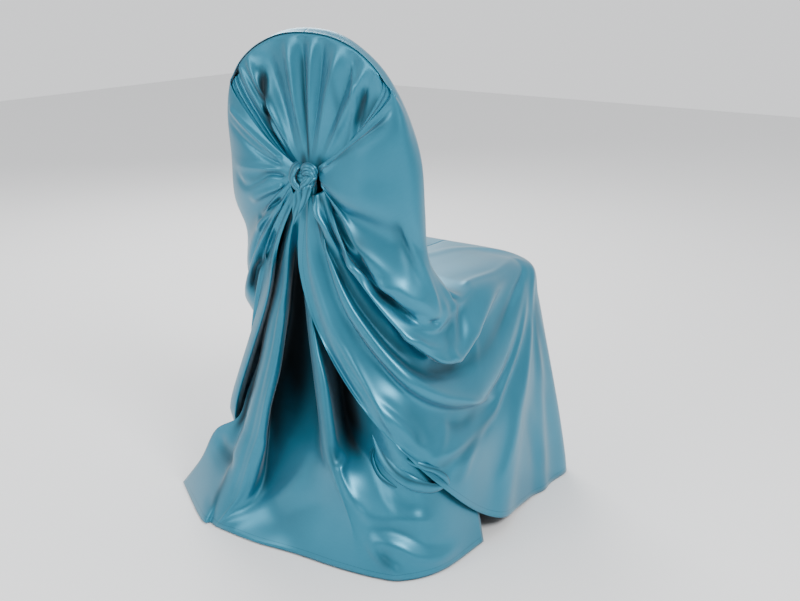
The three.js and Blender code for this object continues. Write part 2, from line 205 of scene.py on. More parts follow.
# Back panel below the knot. One row for each fold line from the right edge to
# the left; columns are levels, each [x, y] at the height in LEVELS.
LEVELS = [690, 665, 625, 560, 480, 400, 320, 250, 200, 160, 80, 3]
SKIRT = {
    "edge_right": [
        [-29, 264], [-24, 263], [-21, 261], [-28, 258], [-92, 252], [-142, 246], [-196, 232],
        [-230, 209], [-247, 183], [-258, 160], [-272, 120], [-292, 122]],
    "pool": [
        [-25, 265], [-20, 264], [-16, 262], [-18, 260], [-60, 262], [-104, 268], [-152, 278],
        [-190, 282], [-216, 277], [-238, 268], [-270, 252], [-284, 248]],
    "valley_right": [
        [-21, 266], [-16, 264], [-11, 261], [8, 250], [7, 228], [-21, 220], [-38, 222], [-61, 236],
        [-96, 256], [-153, 284], [-216, 312], [-246, 318]],
    "ridge_right": [
        [-17, 266], [-12, 265], [-5, 263], [7, 262], [-3, 266], [-28, 280], [-58, 294], [-79, 306],
        [-91, 314], [-112, 322], [-154, 332], [-196, 340]],
    "lip_right": [
        [-13, 266], [-7.5, 264], [1, 262], [17, 256], [19, 254], [0, 268], [-24, 284], [-47, 300],
        [-64, 312], [-89, 322], [-129, 334], [-120, 352]],
    "floor_right": [
        [-9.5, 265], [-3, 263], [7, 260], [30, 246], [37, 226], [32, 218], [20, 218], [4, 240],
        [-11, 272], [-16, 298], [-3, 326], [-30, 358]],
    "floor_left": [
        [-6, 265], [1, 263], [13, 260], [38, 246], [66, 228], [84, 219], [106, 219], [124, 224],
        [126, 236], [108, 262], [85, 304], [62, 370]],
    "lip_mid": [
        [-2.5, 266], [5, 264], [19, 262], [39, 254], [48, 258], [53, 268], [58, 282], [71, 296],
        [75, 306], [76, 316], [101, 334], [148, 370]],
    "ridge_mid": [
        [1, 266], [9, 265], [25, 264], [41, 266], [45, 276], [58, 287], [67, 300], [77, 312], [87, 320],
        [100, 328], [126, 344], [164, 368]],
    "lip_left": [
        [4.5, 266], [13, 264], [30, 262], [53, 262], [68, 266], [87, 276], [98, 290], [114, 302],
        [126, 311], [140, 320], [162, 338], [178, 364]],
    "valley_left": [
        [7.5, 265], [17, 263], [35, 260], [60, 252], [92, 245], [115, 248], [126, 262], [140, 274],
        [150, 284], [164, 294], [191, 322], [204, 364]],
    "edge_left": [
        [11, 263.5], [21.5, 261.5], [40, 258], [70, 247], [107, 236], [130, 238], [140, 246],
        [158, 264], [168, 284], [225, 290], [279, 282], [346, 273]],
}
# Side edges of the fan, tucked inside the hood behind the wings, from the top.
POCKET = {
    "right": [
        [-154, 243, 852], [-157, 245, 843], [-159, 245, 826], [-150, 247, 800], [-124, 252, 762],
        [-90, 258, 729], [-60, 262, 706]],
    "left": [
        [146, 243, 848], [149, 245, 839], [151, 245, 823], [143, 247, 798], [112, 252, 762],
        [76, 258, 729], [42, 262, 706]],
}
FAN = [0, 0.06, 0.2, 0.38, 0.58, 0.78]
FAN_ROWS = len(FAN) + 1
SEAM_LAP = 8.0       # how far the crown seam laps over the back panel, mm
SEAM_DEPTH = 3.3     # how far the panel lies under the front sheet at the seam, mm
LAP_DEPTH = 0.3      # how much deeper its first edge lies, mm
SEAM_START = 3.7     # station where the crown seam starts on each side
FAN_SAG = 60         # four times the sag of the fan's edges half way down, mm
FAN_IN = 10          # how far those edges bend inward half way down, mm
RIM_START = 0.78     # share of the fan's half width where it turns to its rim


# ---------------------------------------------------------------- shape maths

def smooth(low, high, x):
    """t = clamp((x - low) / (high - low)); result t t (3 - 2 t)."""
    t = np.clip((np.asarray(x, float) - low) / (high - low), 0.0, 1.0)
    return t * t * (3.0 - 2.0 * t)


def bell(distance, wide):
    """exp(-(distance / wide)^2)."""
    return np.exp(-((distance / wide) ** 2))


def spline(table, steps):
    """Points along the first axis of a table, steps counted in table rows:
    p(t) = (2 p1 + (p2 - p0) t + (2 p0 - 5 p1 + 4 p2 - p3) t^2
    + (3 p1 - p0 - 3 p2 + p3) t^3) / 2, with the ends mirrored straight."""
    table = np.asarray(table, float)
    ends = np.concatenate([2 * table[:1] - table[1:2], table, 2 * table[-1:] - table[-2:-1]])
    at = np.clip(np.floor(steps).astype(int), 0, len(table) - 2)
    t = (np.asarray(steps, float) - at).reshape((-1,) + (1,) * (table.ndim - 1))
    p0, p1, p2, p3 = (ends[at + k] for k in range(4))
    return 0.5 * (2 * p1 + (p2 - p0) * t + (2 * p0 - 5 * p1 + 4 * p2 - p3) * t ** 2
                  + (3 * p1 - p0 - 3 * p2 + p3) * t ** 3)


def patch(table, across, down):
    """A surface through a table of points, rows by columns: the spline down the
    rows, then the spline across the columns. Result [across, down, xyz]."""
    lines = spline(np.asarray(table, float), down)
    return spline(lines.transpose(1, 0, 2), across)


def unit(v):
    """v / |v| along the last axis."""
    return v / np.maximum(np.linalg.norm(v, axis=-1, keepdims=True), 1e-9)


def facing(points):
    """Unit normals of a grid of points: the cross product of its two gradients."""
    return unit(np.cross(np.gradient(points, axis=0), np.gradient(points, axis=1)))


def crease_height(points, line, wide, ends):
    """How much of a crease is felt at each point: with d the distance to the line
    and f how far along it the nearest place is, (1 + (d / w)^2)^-2 where w goes
    from wide[0] to wide[1] along it, faded in and out over ends[0] and ends[1]."""
    flat = points.reshape(-1, 3)
    lowest, highest = line.min(0) - 3 * max(wide), line.max(0) + 3 * max(wide)
    near = np.flatnonzero(np.all((flat > lowest) & (flat < highest), axis=1))
    out = np.zeros(len(flat))
    if len(near) == 0:
        return out.reshape(points.shape[:-1])
    p = flat[near][:, None]
    a, b = line[None, :-1], line[None, 1:]
    along = np.clip(((p - a) * (b - a)).sum(-1) / np.maximum(((b - a) ** 2).sum(-1), 1e-9), 0, 1)
    away = ((p - a - along[..., None] * (b - a)) ** 2).sum(-1)
    k = away.argmin(1)
    pick = np.arange(len(near))
    f = (k + along[pick, k]) / (len(line) - 1)
    w = wide[0] + (wide[1] - wide[0]) * f
    felt = (1 + away[pick, k] / w ** 2) ** -2
    fade = smooth(0, max(ends[0], 1e-3), f) * (1 - smooth(1 - max(ends[1], 1e-3), 1, f))
    out[near] = felt * fade
    return out.reshape(points.shape[:-1])


# ---------------------------------------------------------------- the sheets

ROWS = list(RIGHT)
STATIONS = len(RIGHT["seam"])
LAST = 2 * (STATIONS - 1)
FRONT_TABLE = [RIGHT[name] + LEFT[name][-2::-1] for name in ROWS]
SWAG_ROW = ROWS.index("swag_b")

# A crease or a painted shade. wide: its half widths in mm at its two ends; high: mm that a
# crease stands out, or in if negative, or how dark a painted shade is, 0 to 1; ends: shares
# of its length over which it fades in and out; points: where it runs.
Fold = namedtuple("Fold", "name wide high ends points")

# Creases that the camera sees. points: places (x, y) in its view, from the top left.
FRONT_CREASES = [
    Fold("wing_top_fold", (4.5, 7), 6, (0.05, 0.35), [
        (321, 172), (340, 155), (355, 144), (370, 133), (388, 118)]),
    Fold("wing_top_groove", (4.5, 6), -7, (0.05, 0.3), [
        (323, 168), (343, 151), (362, 135), (380, 119), (394, 106)]),
    Fold("wing_under_dark", (4.5, 10), -17, (0.04, 0.4), [
        (313, 190), (322, 200), (334, 216), (343, 232), (356, 250), (370, 264)]),
    Fold("wing_under_light", (4.5, 6), 5, (0.2, 0.35), [
        (338, 219), (352, 240), (366, 256), (384, 271), (402, 282)]),
    Fold("swag_a_crest", (5, 12), 9, (0.05, 0.25), [
        (313, 197), (322, 226), (336, 247), (352, 267), (372, 279), (392, 288), (412, 297), (428, 305),
        (440, 312)]),
    Fold("swag_a_dip", (6, 8), -6, (0.3, 0.2), [
        (366, 286), (380, 296), (396, 304), (420, 316), (436, 320)]),
    Fold("swag_a_fold", (5, 5), 8, (0.25, 0.15), [
        (374, 304), (386, 318), (396, 329), (412, 340), (428, 347), (442, 347), (448, 336)]),
    Fold("swag_a_fold_thin", (4.5, 4.5), 5, (0.25, 0.15), [
        (388, 312), (404, 323), (420, 329), (436, 329), (444, 321), (447, 310), (441, 297)]),
    Fold("tuck_u", (4.5, 4.5), 7, (0.1, 0.2), [
        (438, 282), (450, 296), (456, 310), (453, 330), (452, 348), (458, 359), (468, 356), (474, 344),
        (471, 326), (463, 310)]),
    Fold("tuck_u_dark", (4.5, 5), -10, (0.2, 0.2), [(454, 300), (460, 314), (462, 330), (461, 347)]),
    Fold("swag_a_roll", (4.5, 8), 6, (0.05, 0.2), [
        (320, 212), (334, 247), (349, 275), (366, 301), (386, 325), (406, 345), (424, 358), (446, 362),
        (466, 356)]),
    Fold("swag_a_gap", (4.5, 9), -15, (0.05, 0.2), [
        (317, 213), (329, 250), (343, 279), (359, 306), (379, 331), (399, 353), (420, 368), (448, 372),
        (470, 365), (482, 354)]),
    Fold("swag_b_crest", (4.5, 8), 8, (0.05, 0.15), [
        (318, 222), (330, 257), (344, 290), (360, 319), (380, 347), (400, 368), (420, 384), (444, 396),
        (470, 401), (490, 396), (503, 382), (515, 350), (524, 314), (528, 288)]),
    Fold("seat_corner_dark", (6, 5), -8, (0.1, 0.2), [
        (527, 270), (519, 284), (511, 303), (501, 327), (491, 347), (481, 360), (470, 368)]),
    Fold("seat_edge", (5, 5), 4, (0.1, 0.1), [(465, 286), (480, 277), (500, 269), (526, 261)]),
    Fold("pouch_light", (5, 4.5), 8, (0.3, 0.05), [(446, 412), (442, 440), (436, 455), (429, 464)]),
    Fold("pouch_dark", (8, 10), -7, (0.3, 0.2), [(372, 392), (395, 410), (415, 428), (426, 450)]),
    Fold("pouch_dark_right", (6, 6), -5, (0.3, 0.3), [(440, 418), (458, 424), (470, 420)]),
    Fold("pouch_lip", (4.5, 4.5), 7, (0.05, 0.2), [
        (428, 465), (438, 459), (455, 449), (473, 433), (487, 418), (496, 404), (503, 386)]),
    Fold("pouch_under", (6, 6), -6, (0.1, 0.2), [
        (440, 471), (455, 462), (468, 450), (482, 434), (495, 412)]),
    Fold("hem_fold", (4.5, 4.5), 5, (0.2, 0.1), [
        (340, 330), (362, 378), (377, 408), (391, 431), (402, 452), (424, 465)]),
    Fold("hem_hollow", (6, 10), -4, (0.2, 0.3), [(330, 330), (350, 370), (370, 400), (385, 425)]),
    Fold("skirt_lip", (6, 6), 6, (0.1, 0.2), [(505, 378), (493, 409), (482, 431), (469, 458), (455, 486)]),
    Fold("skirt_broad", (14, 12), 5, (0.3, 0.3), [(518, 370), (516, 424), (507, 462), (495, 490)]),
    Fold("skirt_fold", (6, 6), 6, (0.2, 0.1), [(530, 404), (539, 436), (545, 469)]),
    Fold("skirt_fold_dark", (6, 6), -5, (0.2, 0.1), [(520, 404), (529, 436), (536, 469)]),
    Fold("corner_fold", (4.5, 6), 6, (0.1, 0.4), [
        (528, 262), (532, 290), (531, 320), (528, 358), (523, 400), (518, 430)]),
    Fold("corner_fold_2", (4.5, 5), 6, (0.2, 0.3), [(533, 300), (538, 350), (548, 400), (556, 440)]),
    Fold("corner_dark", (4.5, 5), -6, (0.2, 0.3), [(530, 300), (534, 330), (536, 360), (539, 400)]),
    Fold("wing_edge_fold", (6, 5), 6, (0.3, 0.2), [
        (405, 215), (404, 230), (413, 250), (423, 268), (430, 285), (436, 300), (440, 318)]),
    Fold("wing_edge_dark", (7, 7), -6, (0.3, 0.3), [
        (398, 215), (399, 232), (405, 250), (415, 270), (424, 290)]),
    Fold("left_fold_1", (5, 4.5), 6, (0.1, 0.1), [(229, 105), (244, 125), (266, 146), (283, 160)]),
    Fold("left_fold_2", (6, 4.5), -4, (0.2, 0.1), [(228, 118), (244, 140), (264, 156), (284, 166)]),
    Fold("left_v", (5, 4.5), -7, (0.15, 0.1), [(236, 171), (246, 186), (258, 181), (272, 174), (286, 176)]),
    Fold("left_bulge", (9, 4.5), 6, (0.3, 0.2), [(232, 160), (246, 166), (262, 168), (280, 170)]),
    Fold("left_low", (7, 4.5), 7, (0.2, 0.1), [(250, 201), (268, 191), (285, 183)]),
    Fold("left_line", (5, 4.5), -9, (0.1, 0.1), [(258, 217), (270, 208), (281, 199)]),
    Fold("left_under", (6, 4.5), 6, (0.2, 0.1), [(256, 232), (268, 216), (283, 202)]),
    Fold("left_dark", (5, 8), -14, (0.2, 0.2), [(268, 252), (260, 266), (254, 281), (250, 294)]),
    Fold("left_dark_2", (4.5, 5), -7, (0.2, 0.2), [(276, 228), (270, 245), (264, 262)]),
]
BACK_CREASES = [
    Fold("r1_line", (4.5, 4.5), 4, (0.2, 0.03), [
        (286, 300), (283, 320), (278, 350), (271, 382), (266, 402), (259, 436), (248, 469), (237, 500),
        (219, 524)]),
    Fold("r1_soft", (4.5, 4.5), -2.5, (0.2, 0.1), [
        (284, 262), (279, 300), (272, 340), (265, 372), (258, 402), (251, 432), (241, 466), (228, 500)]),
    Fold("foot_crease", (4.5, 13), 8, (0.05, 0.35), [
        (219, 527), (232, 522), (250, 515), (270, 503), (290, 487), (306, 464), (312, 440)]),
    Fold("train_dip", (14, 14), -5, (0.3, 0.3), [(250, 528), (280, 520), (310, 505), (330, 490)]),
    Fold("r2_line", (4.5, 4.5), 6, (0.2, 0.05), [
        (313, 340), (322, 368), (328, 395), (331, 413), (335, 440), (344, 457), (340, 470), (348, 491),
        (361, 510)]),
    Fold("r2_kink", (4.5, 4.5), 4, (0.2, 0.2), [(346, 452), (343, 463), (338, 472)]),
    Fold("roll_top", (6, 8), 12, (0.1, 0.2), [
        (358, 506), (368, 514), (384, 518), (400, 519), (418, 519), (436, 521)]),
    Fold("roll_dip", (6, 7), -9, (0.2, 0.3), [(372, 531), (392, 530), (415, 538), (438, 544), (458, 538)]),
    Fold("roll_low", (6, 8), 12, (0.05, 0.3), [
        (369, 546), (384, 543), (402, 549), (415, 557), (433, 559), (451, 552), (466, 542)]),
    Fold("roll_tip", (5, 5), 9, (0.05, 0.05), [(367, 547), (380, 558), (393, 568), (400, 579)]),
    Fold("roll_tip_dark", (4.5, 4.5), -9, (0.2, 0.2), [(379, 549), (388, 559), (395, 566)]),
    Fold("roll_fold", (4.5, 5), 5, (0.2, 0.3), [(417, 529), (427, 540), (440, 554)]),
    Fold("inner_fold", (6, 4.5), 5, (0.3, 0.2), [(384, 489), (392, 500), (401, 514)]),
    Fold("flap_notch", (5, 5), -15, (0.02, 0.15), [(219, 437), (226, 451), (235, 468)]),
    Fold("lower_dip", (6, 6), -6, (0.25, 0.25), [(212, 445), (219, 458), (226, 476)]),
    Fold("lower_dip_2", (5, 5), -6, (0.2, 0.2), [(206, 498), (211, 508), (215, 516)]),
    Fold("fan_dark", (7, 4.5), -12, (0.15, 0.1), [(263, 66), (262, 95), (269, 126), (287, 158)]),
    Fold("fan_pocket", (5, 4.5), -9, (0.25, 0.1), [(366, 84), (362, 108), (355, 132)]),
    Fold("fan_fold", (4.5, 4.5), 5, (0.2, 0.1), [(346, 56), (353, 90), (353, 128), (345, 152)]),
]

# Falls of the front and the left side, pulls on the seat and folds inside the back.
# points: (station, row) on the front sheet, with stations 0 to 8 on the right, 8 in
# the middle of the front and 8 to 16 on the left.
FRONT_FALLS = [
    Fold("front_corner_right", (9, 22), 7, (0.1, 0.02), [
        (7, 10.2), (6.98, 11.2), (6.96, 12.4), (6.93, 14)]),
    Fold("front_corner_left", (9, 22), 7, (0.1, 0.02), [(9, 10.2), (9.02, 11.2), (9.03, 12.4), (9.06, 14)]),
    Fold("front_fall_1", (12, 26), 6, (0.3, 0.02), [(7.3, 10.5), (7.27, 11.6), (7.25, 12.8), (7.2, 14)]),
    Fold("front_fall_dip_1", (10, 18), -6, (0.3, 0.02), [(7.18, 10.8), (7.14, 12), (7.1, 13), (7.08, 14)]),
    Fold("front_fall_2", (14, 24), -6, (0.35, 0.02), [(7.62, 10.9), (7.6, 12), (7.63, 13), (7.66, 14)]),
    Fold("front_fall_3", (12, 22), 6, (0.35, 0.02), [(7.9, 10.7), (7.87, 11.8), (7.84, 13), (7.8, 14)]),
    Fold("front_fall_4", (14, 26), -5, (0.3, 0.02), [(8.3, 10.6), (8.33, 11.8), (8.3, 13), (8.34, 14)]),
    Fold("front_fall_5", (12, 24), 6, (0.3, 0.02), [(8.62, 10.5), (8.6, 11.6), (8.64, 12.8), (8.68, 14)]),
    Fold("front_fall_dip_5", (9, 18), -6, (0.3, 0.02), [(8.8, 10.7), (8.83, 12), (8.86, 13), (8.9, 14)]),
    Fold("front_swoop", (8, 10), 4, (0.15, 0.15), [
        (7.06, 10.3), (7.35, 10.95), (7.75, 11.35), (8.2, 11.4), (8.6, 11), (8.94, 10.3)]),
    Fold("front_swoop_low", (9, 14), 3.5, (0.2, 0.4), [
        (7.04, 10.9), (7.4, 11.9), (7.9, 12.4), (8.4, 12.1)]),
    Fold("side_fall_left", (12, 22), 7, (0.3, 0.02), [(9.55, 10.6), (9.6, 12), (9.62, 13), (9.6, 14)]),
    Fold("side_fall_left_dip", (12, 20), -7, (0.3, 0.02), [
        (9.35, 10.8), (9.34, 12), (9.32, 13), (9.3, 14)]),
    Fold("side_fall_left_2", (12, 22), 7, (0.3, 0.02), [
        (10.05, 10.8), (10.1, 12), (10.15, 13), (10.1, 14)]),
    Fold("side_fall_left_3", (11, 18), -6, (0.3, 0.02), [(9.83, 10.8), (9.86, 12), (9.88, 13), (9.86, 14)]),
    Fold("seat_back_roll", (10, 10), 6, (0.15, 0.15), [
        (6.7, 5.75), (7.2, 5.6), (7.7, 5.52), (8.2, 5.56), (8.8, 5.6), (9.3, 5.75)]),
    Fold("seat_back_groove", (8, 8), -6, (0.15, 0.15), [
        (6.7, 6.2), (7.3, 5.95), (8, 5.9), (8.7, 5.95), (9.3, 6.2)]),
    Fold("seat_pull_1", (9, 13), 4, (0.15, 0.25), [
        (7.08, 9.9), (7.35, 9), (7.6, 8), (7.72, 6.9), (7.7, 6.1)]),
    Fold("seat_pull_2", (9, 13), 4, (0.15, 0.25), [
        (8.92, 9.9), (8.68, 9), (8.45, 8), (8.3, 6.9), (8.28, 6.1)]),
    Fold("seat_pull_3", (16, 12), -3.5, (0.3, 0.25), [(8.05, 9.6), (8, 8.6), (7.95, 7.4), (8, 6.3)]),
    Fold("inner_back_1", (9, 15), 6, (0.2, 0.2), [(7.15, 1.9), (7.25, 3), (7.45, 4.2), (7.6, 5.4)]),
    Fold("inner_back_2", (9, 14), -5, (0.25, 0.2), [(7.5, 1.8), (7.62, 3), (7.75, 4.2), (7.85, 5.3)]),
    Fold("inner_back_3", (9, 14), 5, (0.25, 0.2), [(8.2, 1.8), (8.15, 3.1), (8.1, 4.3), (8.05, 5.3)]),
    Fold("inner_back_4", (9, 15), 6, (0.2, 0.2), [(8.75, 1.9), (8.66, 3.1), (8.5, 4.3), (8.35, 5.4)]),
    Fold("inner_back_5", (8, 12), -5, (0.25, 0.2), [(8.5, 1.8), (8.42, 3.2), (8.3, 4.4), (8.2, 5.4)]),
    Fold("inner_back_pull", (8, 12), 4, (0.2, 0.3), [(6.7, 4.7), (7.2, 4.9), (7.7, 5), (8.2, 4.9)]),
]

# Painted shade: places down in the folds whose colour is painted dark, in the camera's view too.
FRONT_PAINTED_SHADES = [
    Fold("under_wing", (5.1, 23.4), 1, (0.03, 0.4), [
        (318, 195), (330, 213), (344, 231), (360, 253), (378, 272)]),
    Fold("swag_gap", (5.1, 14.4), 0.95, (0.05, 0.15), [
        (314, 212), (330, 252), (348, 285), (374, 322), (398, 350), (420, 368), (440, 372), (460, 367)]),
    Fold("tuck", (8, 8), 0.4, (0.3, 0.3), [(451, 300), (449, 330), (446, 352)]),
    Fold("seat", (6.8, 9), 0.8, (0.2, 0.3), [(450, 370), (468, 362), (482, 350)]),
    Fold("seat_fold", (8.5, 10.8), 0.55, (0.2, 0.2), [(512, 296), (500, 322), (486, 348), (474, 362)]),
    Fold("left_hollow", (6.8, 18), 1, (0.1, 0.15), [(266, 252), (258, 272), (252, 295)]),
    Fold("left_top", (5.1, 3.6), 0.5, (0.2, 0.1), [(246, 181), (258, 178), (270, 171), (284, 172)]),
    Fold("left_line", (5.1, 3.6), 0.7, (0.1, 0.1), [(258, 216), (270, 207), (282, 197)]),
    Fold("wing_top", (4.2, 7.2), 0.6, (0.05, 0.2), [
        (326, 166), (345, 153), (362, 140), (378, 126), (390, 118)]),
    Fold("wing_soft", (13.6, 14.4), 0.35, (0.3, 0.3), [(400, 212), (398, 232), (406, 254), (420, 280)]),
    Fold("pouch", (13.6, 14.4), 0.4, (0.3, 0.2), [(400, 400), (418, 424), (424, 450)]),
    Fold("pouch_right", (10.2, 10.8), 0.4, (0.3, 0.3), [(444, 424), (462, 424), (480, 405)]),
    Fold("lip", (5.1, 6.3), 0.7, (0.05, 0.2), [(440, 468), (456, 456), (474, 438), (490, 416), (502, 392)]),
    Fold("skirt", (8.5, 9), 0.45, (0.2, 0.2), [(482, 425), (466, 456), (450, 484)]),
    Fold("corner", (5.1, 9), 0.5, (0.2, 0.3), [(534, 290), (537, 320), (539, 350), (542, 390)]),
    Fold("skirt_edge", (6.8, 7.2), 0.5, (0.3, 0.1), [(540, 440), (546, 470)]),
]
BACK_PAINTED_SHADES = [
    Fold("v1", (18, 60), 1, (0.04, 0.4), [
        (301, 246), (300, 280), (299, 320), (298, 360), (298, 400), (299, 440)]),
    Fold("v1_left", (6.8, 14.4), 1, (0.05, 0.25), [
        (296, 262), (294, 300), (289, 345), (283, 390), (277, 430), (273, 466)]),
    Fold("v1_right", (5.1, 10.8), 0.85, (0.1, 0.3), [
        (308, 300), (313, 340), (319, 380), (325, 420), (334, 460), (342, 490)]),
    Fold("r2_right", (16, 34), 1, (0.1, 0.35), [
        (318, 290), (331, 340), (345, 384), (356, 424), (358, 452)]),
    Fold("r0", (6.8, 9), 0.9, (0.1, 0.2), [(276, 282), (268, 320), (258, 368), (246, 408), (232, 442)]),
    Fold("flap", (7, 9), 0.9, (0.1, 0.1), [(246, 400), (257, 384)]),
    Fold("lower_left", (8.5, 10.8), 0.6, (0.1, 0.1), [(214, 447), (226, 474), (216, 498), (212, 510)]),
    Fold("notch", (6, 7), 0.8, (0.3, 0.3), [(221, 440), (228, 452), (236, 466)]),
    Fold("fan_trough", (16, 7), 1, (0.25, 0.15), [(262, 58), (261, 95), (269, 126), (284, 156)]),
    Fold("fan_slit", (4.2, 3.6), 0.8, (0.1, 0.05), [(302, 50), (304, 95), (307, 125), (309, 162)]),
    Fold("fan_slit_2", (5.1, 5.4), 0.4, (0.3, 0.2), [(330, 60), (336, 100), (338, 140)]),
    Fold("fan_pocket", (8, 7), 0.9, (0.35, 0.4), [(366, 84), (360, 110), (352, 136)]),
    Fold("fan_pocket_2", (8, 7), 0.85, (0.35, 0.4), [(380, 92), (371, 113), (360, 134)]),
    Fold("knot_top", (6.8, 7.2), 0.8, (0.3, 0.01), [(303, 150), (305, 168)]),
    Fold("knot_top_2", (6, 6.3), 0.9, (0.3, 0.01), [(317, 156), (322, 168)]),
    Fold("gap", (14, 16), 0.9, (0.3, 0.3), [(424, 496), (429, 504), (433, 512)]),
    Fold("roll_tip", (10, 10), 0.9, (0.4, 0.4), [(376, 552), (384, 561), (393, 570)]),
    Fold("roll_back", (8.5, 10.8), 0.35, (0.3, 0.3), [(372, 531), (396, 532), (420, 540)]),
]

# A strand of gathered cloth. ridges: wrinkles across it, high: how far they stand
# in mm; wide and thick: its half sizes in mm along it; path: chair-frame mm.
Strand = namedtuple("Strand", "name ridges high wide thick path")

# The tied knot round its heart.
KNOT_HEART = (-8.0, 262.0, 687.0)
KNOT_STRANDS = [
    Strand("heart", ridges=5, high=1.6,
           wide=(15, 19, 19, 14), thick=(8, 9, 9, 7),
           path=[(-34, 277, 688), (-22, 280, 689), (-6, 281, 688), (8, 278, 686)]),
    Strand("lobe", ridges=3, high=1.3,
           wide=(11, 13.5, 10.5, 8.5, 7.5, 5), thick=(3, 4.5, 5, 5, 4.5, 3),
           path=[(-3, 279, 711), (4, 287, 705), (7.5, 290, 691), (2.5, 292, 679), (-6, 290.5, 670.5),
                 (-12, 285, 663)]),
    Strand("loop", ridges=2, high=1.2,
           wide=(4, 6.5, 7, 6.5, 4), thick=(3, 4, 4.5, 4, 3),
           path=[(-5, 279, 697), (-14, 287, 706), (-26, 289.5, 710), (-36, 286, 706), (-38.5, 279, 697)]),
    Strand("loop_low", ridges=2, high=0.9,
           wide=(3.5, 5, 5.5, 5, 3.5), thick=(2.5, 3.6, 4, 3.6, 2.5),
           path=[(-6, 282, 690), (-17, 289, 697.5), (-28, 291, 700.5), (-36, 287.5, 697.5),
                 (-38.5, 281, 690)]),
    Strand("band", ridges=2, high=1.0,
           wide=(5, 6.5, 6.5, 6, 4.5), thick=(3, 4, 4.4, 4.2, 3),
           path=[(-39, 281, 692), (-34, 288, 690.5), (-27, 292, 685), (-18, 292, 676.5), (-10, 286.5, 666)]),
]
# The rolled hem where the right swag is turned up, round the swag's low point.
HEM_HEART = (-170, 190, 165)
HEM_ROLL = [
    Strand("loop_low", ridges=1, high=1.4,
           wide=(3, 10, 13, 13, 10, 5), thick=(2, 4, 5.5, 5.5, 5, 3),
           path=[(-138, 264, 240), (-169.4, 274.3, 205.9), (-203.5, 279.8, 184.7), (-235.1, 273.1, 169.7),
                 (-253.8, 246.9, 155.2), (-268.0, 217.1, 152.5)]),
    Strand("loop_top", ridges=1, high=0.8,
           wide=(3, 5, 6, 6, 6, 4), thick=(2, 3, 3.5, 3.5, 3.5, 2.5),
           path=[(-204, 272, 222), (-224, 268.3, 207.8), (-243.5, 255.3, 198.0), (-256.3, 236.1, 185.6),
                 (-266.9, 222.5, 170.5), (-270.9, 213.2, 154.0)]),
    Strand("layer", ridges=1, high=0.6,
           wide=(3, 7, 9, 9, 4), thick=(1, 1.6, 2, 2, 1),
           path=[(-153, 268, 226), (-137.5, 264.9, 192.6), (-160.1, 277.2, 165.5), (-197.3, 280.3, 151.1),
                 (-232.8, 270.6, 149.3)]),
]
# The free ends of the sash, hanging from under the knot.
TAIL_LEFT = Strand("tail_left", ridges=2, high=1.2,
       wide=(7, 11, 11.5, 7.5, 0.8), thick=(2.5, 1.6, 1.1, 1.0, 0.7),
       path=[(-11, 285, 679), (-11, 289.5, 665), (-7, 291, 647), (0, 291, 626.5), (7.6, 289.5, 603.5)])
TAIL_RIGHT = Strand("tail_right", ridges=1, high=1.0,
       wide=(4.5, 7, 6, 4, 0.8), thick=(2.5, 1.8, 1.2, 1.0, 0.7),
       path=[(-25, 286, 682), (-26.5, 291, 672), (-23, 293, 657), (-14, 293.5, 640), (-3, 292.5, 622)])


# Steps of the grids the sheets are made of: [place, step there], blended between.
FRONT_ACROSS = [[0, 0.034], [5, 0.036], [6.4, 0.045], [LAST / 2, 0.05]]
FRONT_DOWN = [[0, 0.064], [14, 0.060]]
BACK_ACROSS = [[-1, 0.0106], [1, 0.0106]]
BACK_DOWN = [[0, 0.075], [6, 0.075], [FAN_ROWS + len(LEVELS) - 1, 0.068]]
# Points across and down of the grids on which folds in the view are looked for.
FRONT_FIND = (321, 197)
BACK_FIND = (161, 181)
SPOTS = 9            # spots tried along each side of a cell of such a grid
LINE_STEPS = 10      # steps of a crease's line between two of its points
LIFT_ROUNDS = 4      # rounds of averaging: heights of creases, normals, depths
NORMAL_ROUNDS = 12
# Rounds of averaging of the painted shade down in the folds.
PAINTED_SHADE_ROUNDS = 5
HOLLOW_ROUNDS = 90   # rounds that make the surroundings a fold is measured from
# The next two: where painted shade in the folds begins and where it is darkest.
PAINTED_SHADE_FROM = 1.0     # mm below its surroundings where cloth begins to darken
PAINTED_SHADE_TO = 13.0      # mm below its surroundings where it is darkest
CREST = -9.0         # mm below, so on a crest, where a shade isn't felt
OFF_CREST = 2.0      # mm below its surroundings where a shade is felt in full
SHADE_REACH = 1.4    # times a shade's crease_height, before it is cut at 1
GUSSET_GRID = (120, 70)
GUSSET_FOLD = 4.0    # height of the folds beside the fan, mm
GUSSET_ROUNDS = 20   # as HOLLOW_ROUNDS, PAINTED_SHADE_FROM and PAINTED_SHADE_TO, for them
# Painted shade of the gussets begins and is darkest at these mm below their surroundings.
GUSSET_SHADE_FROM = 0.5
GUSSET_SHADE_TO = 4.5


def front_points(across, down):
    """The front sheet's middle surface: the patch through FRONT_TABLE, with each
    pleat of the skirt pushed outward by high * fall * bell(station - at - fan fall)."""
    p = patch(FRONT_TABLE, across, down)
    s = np.asarray(across, float)
    side = np.where(s <= LAST / 2, -1, 1)
    station = np.where(side < 0, s, LAST - s)[:, None]
    fall = smooth(SWAG_ROW, len(ROWS) - 1, down)[None, :]
    push = np.zeros(p.shape[:2])
    for f in PLEATS:
        away = station - f["at"] - f["fan"] * fall
        push += (side == f["side"])[:, None] * f["high"] * fall * bell(away, f["wide"])
    out = unit(np.concatenate([p[..., :2], np.zeros_like(p[..., :1])], axis=-1))
    return p + out * push[..., None]


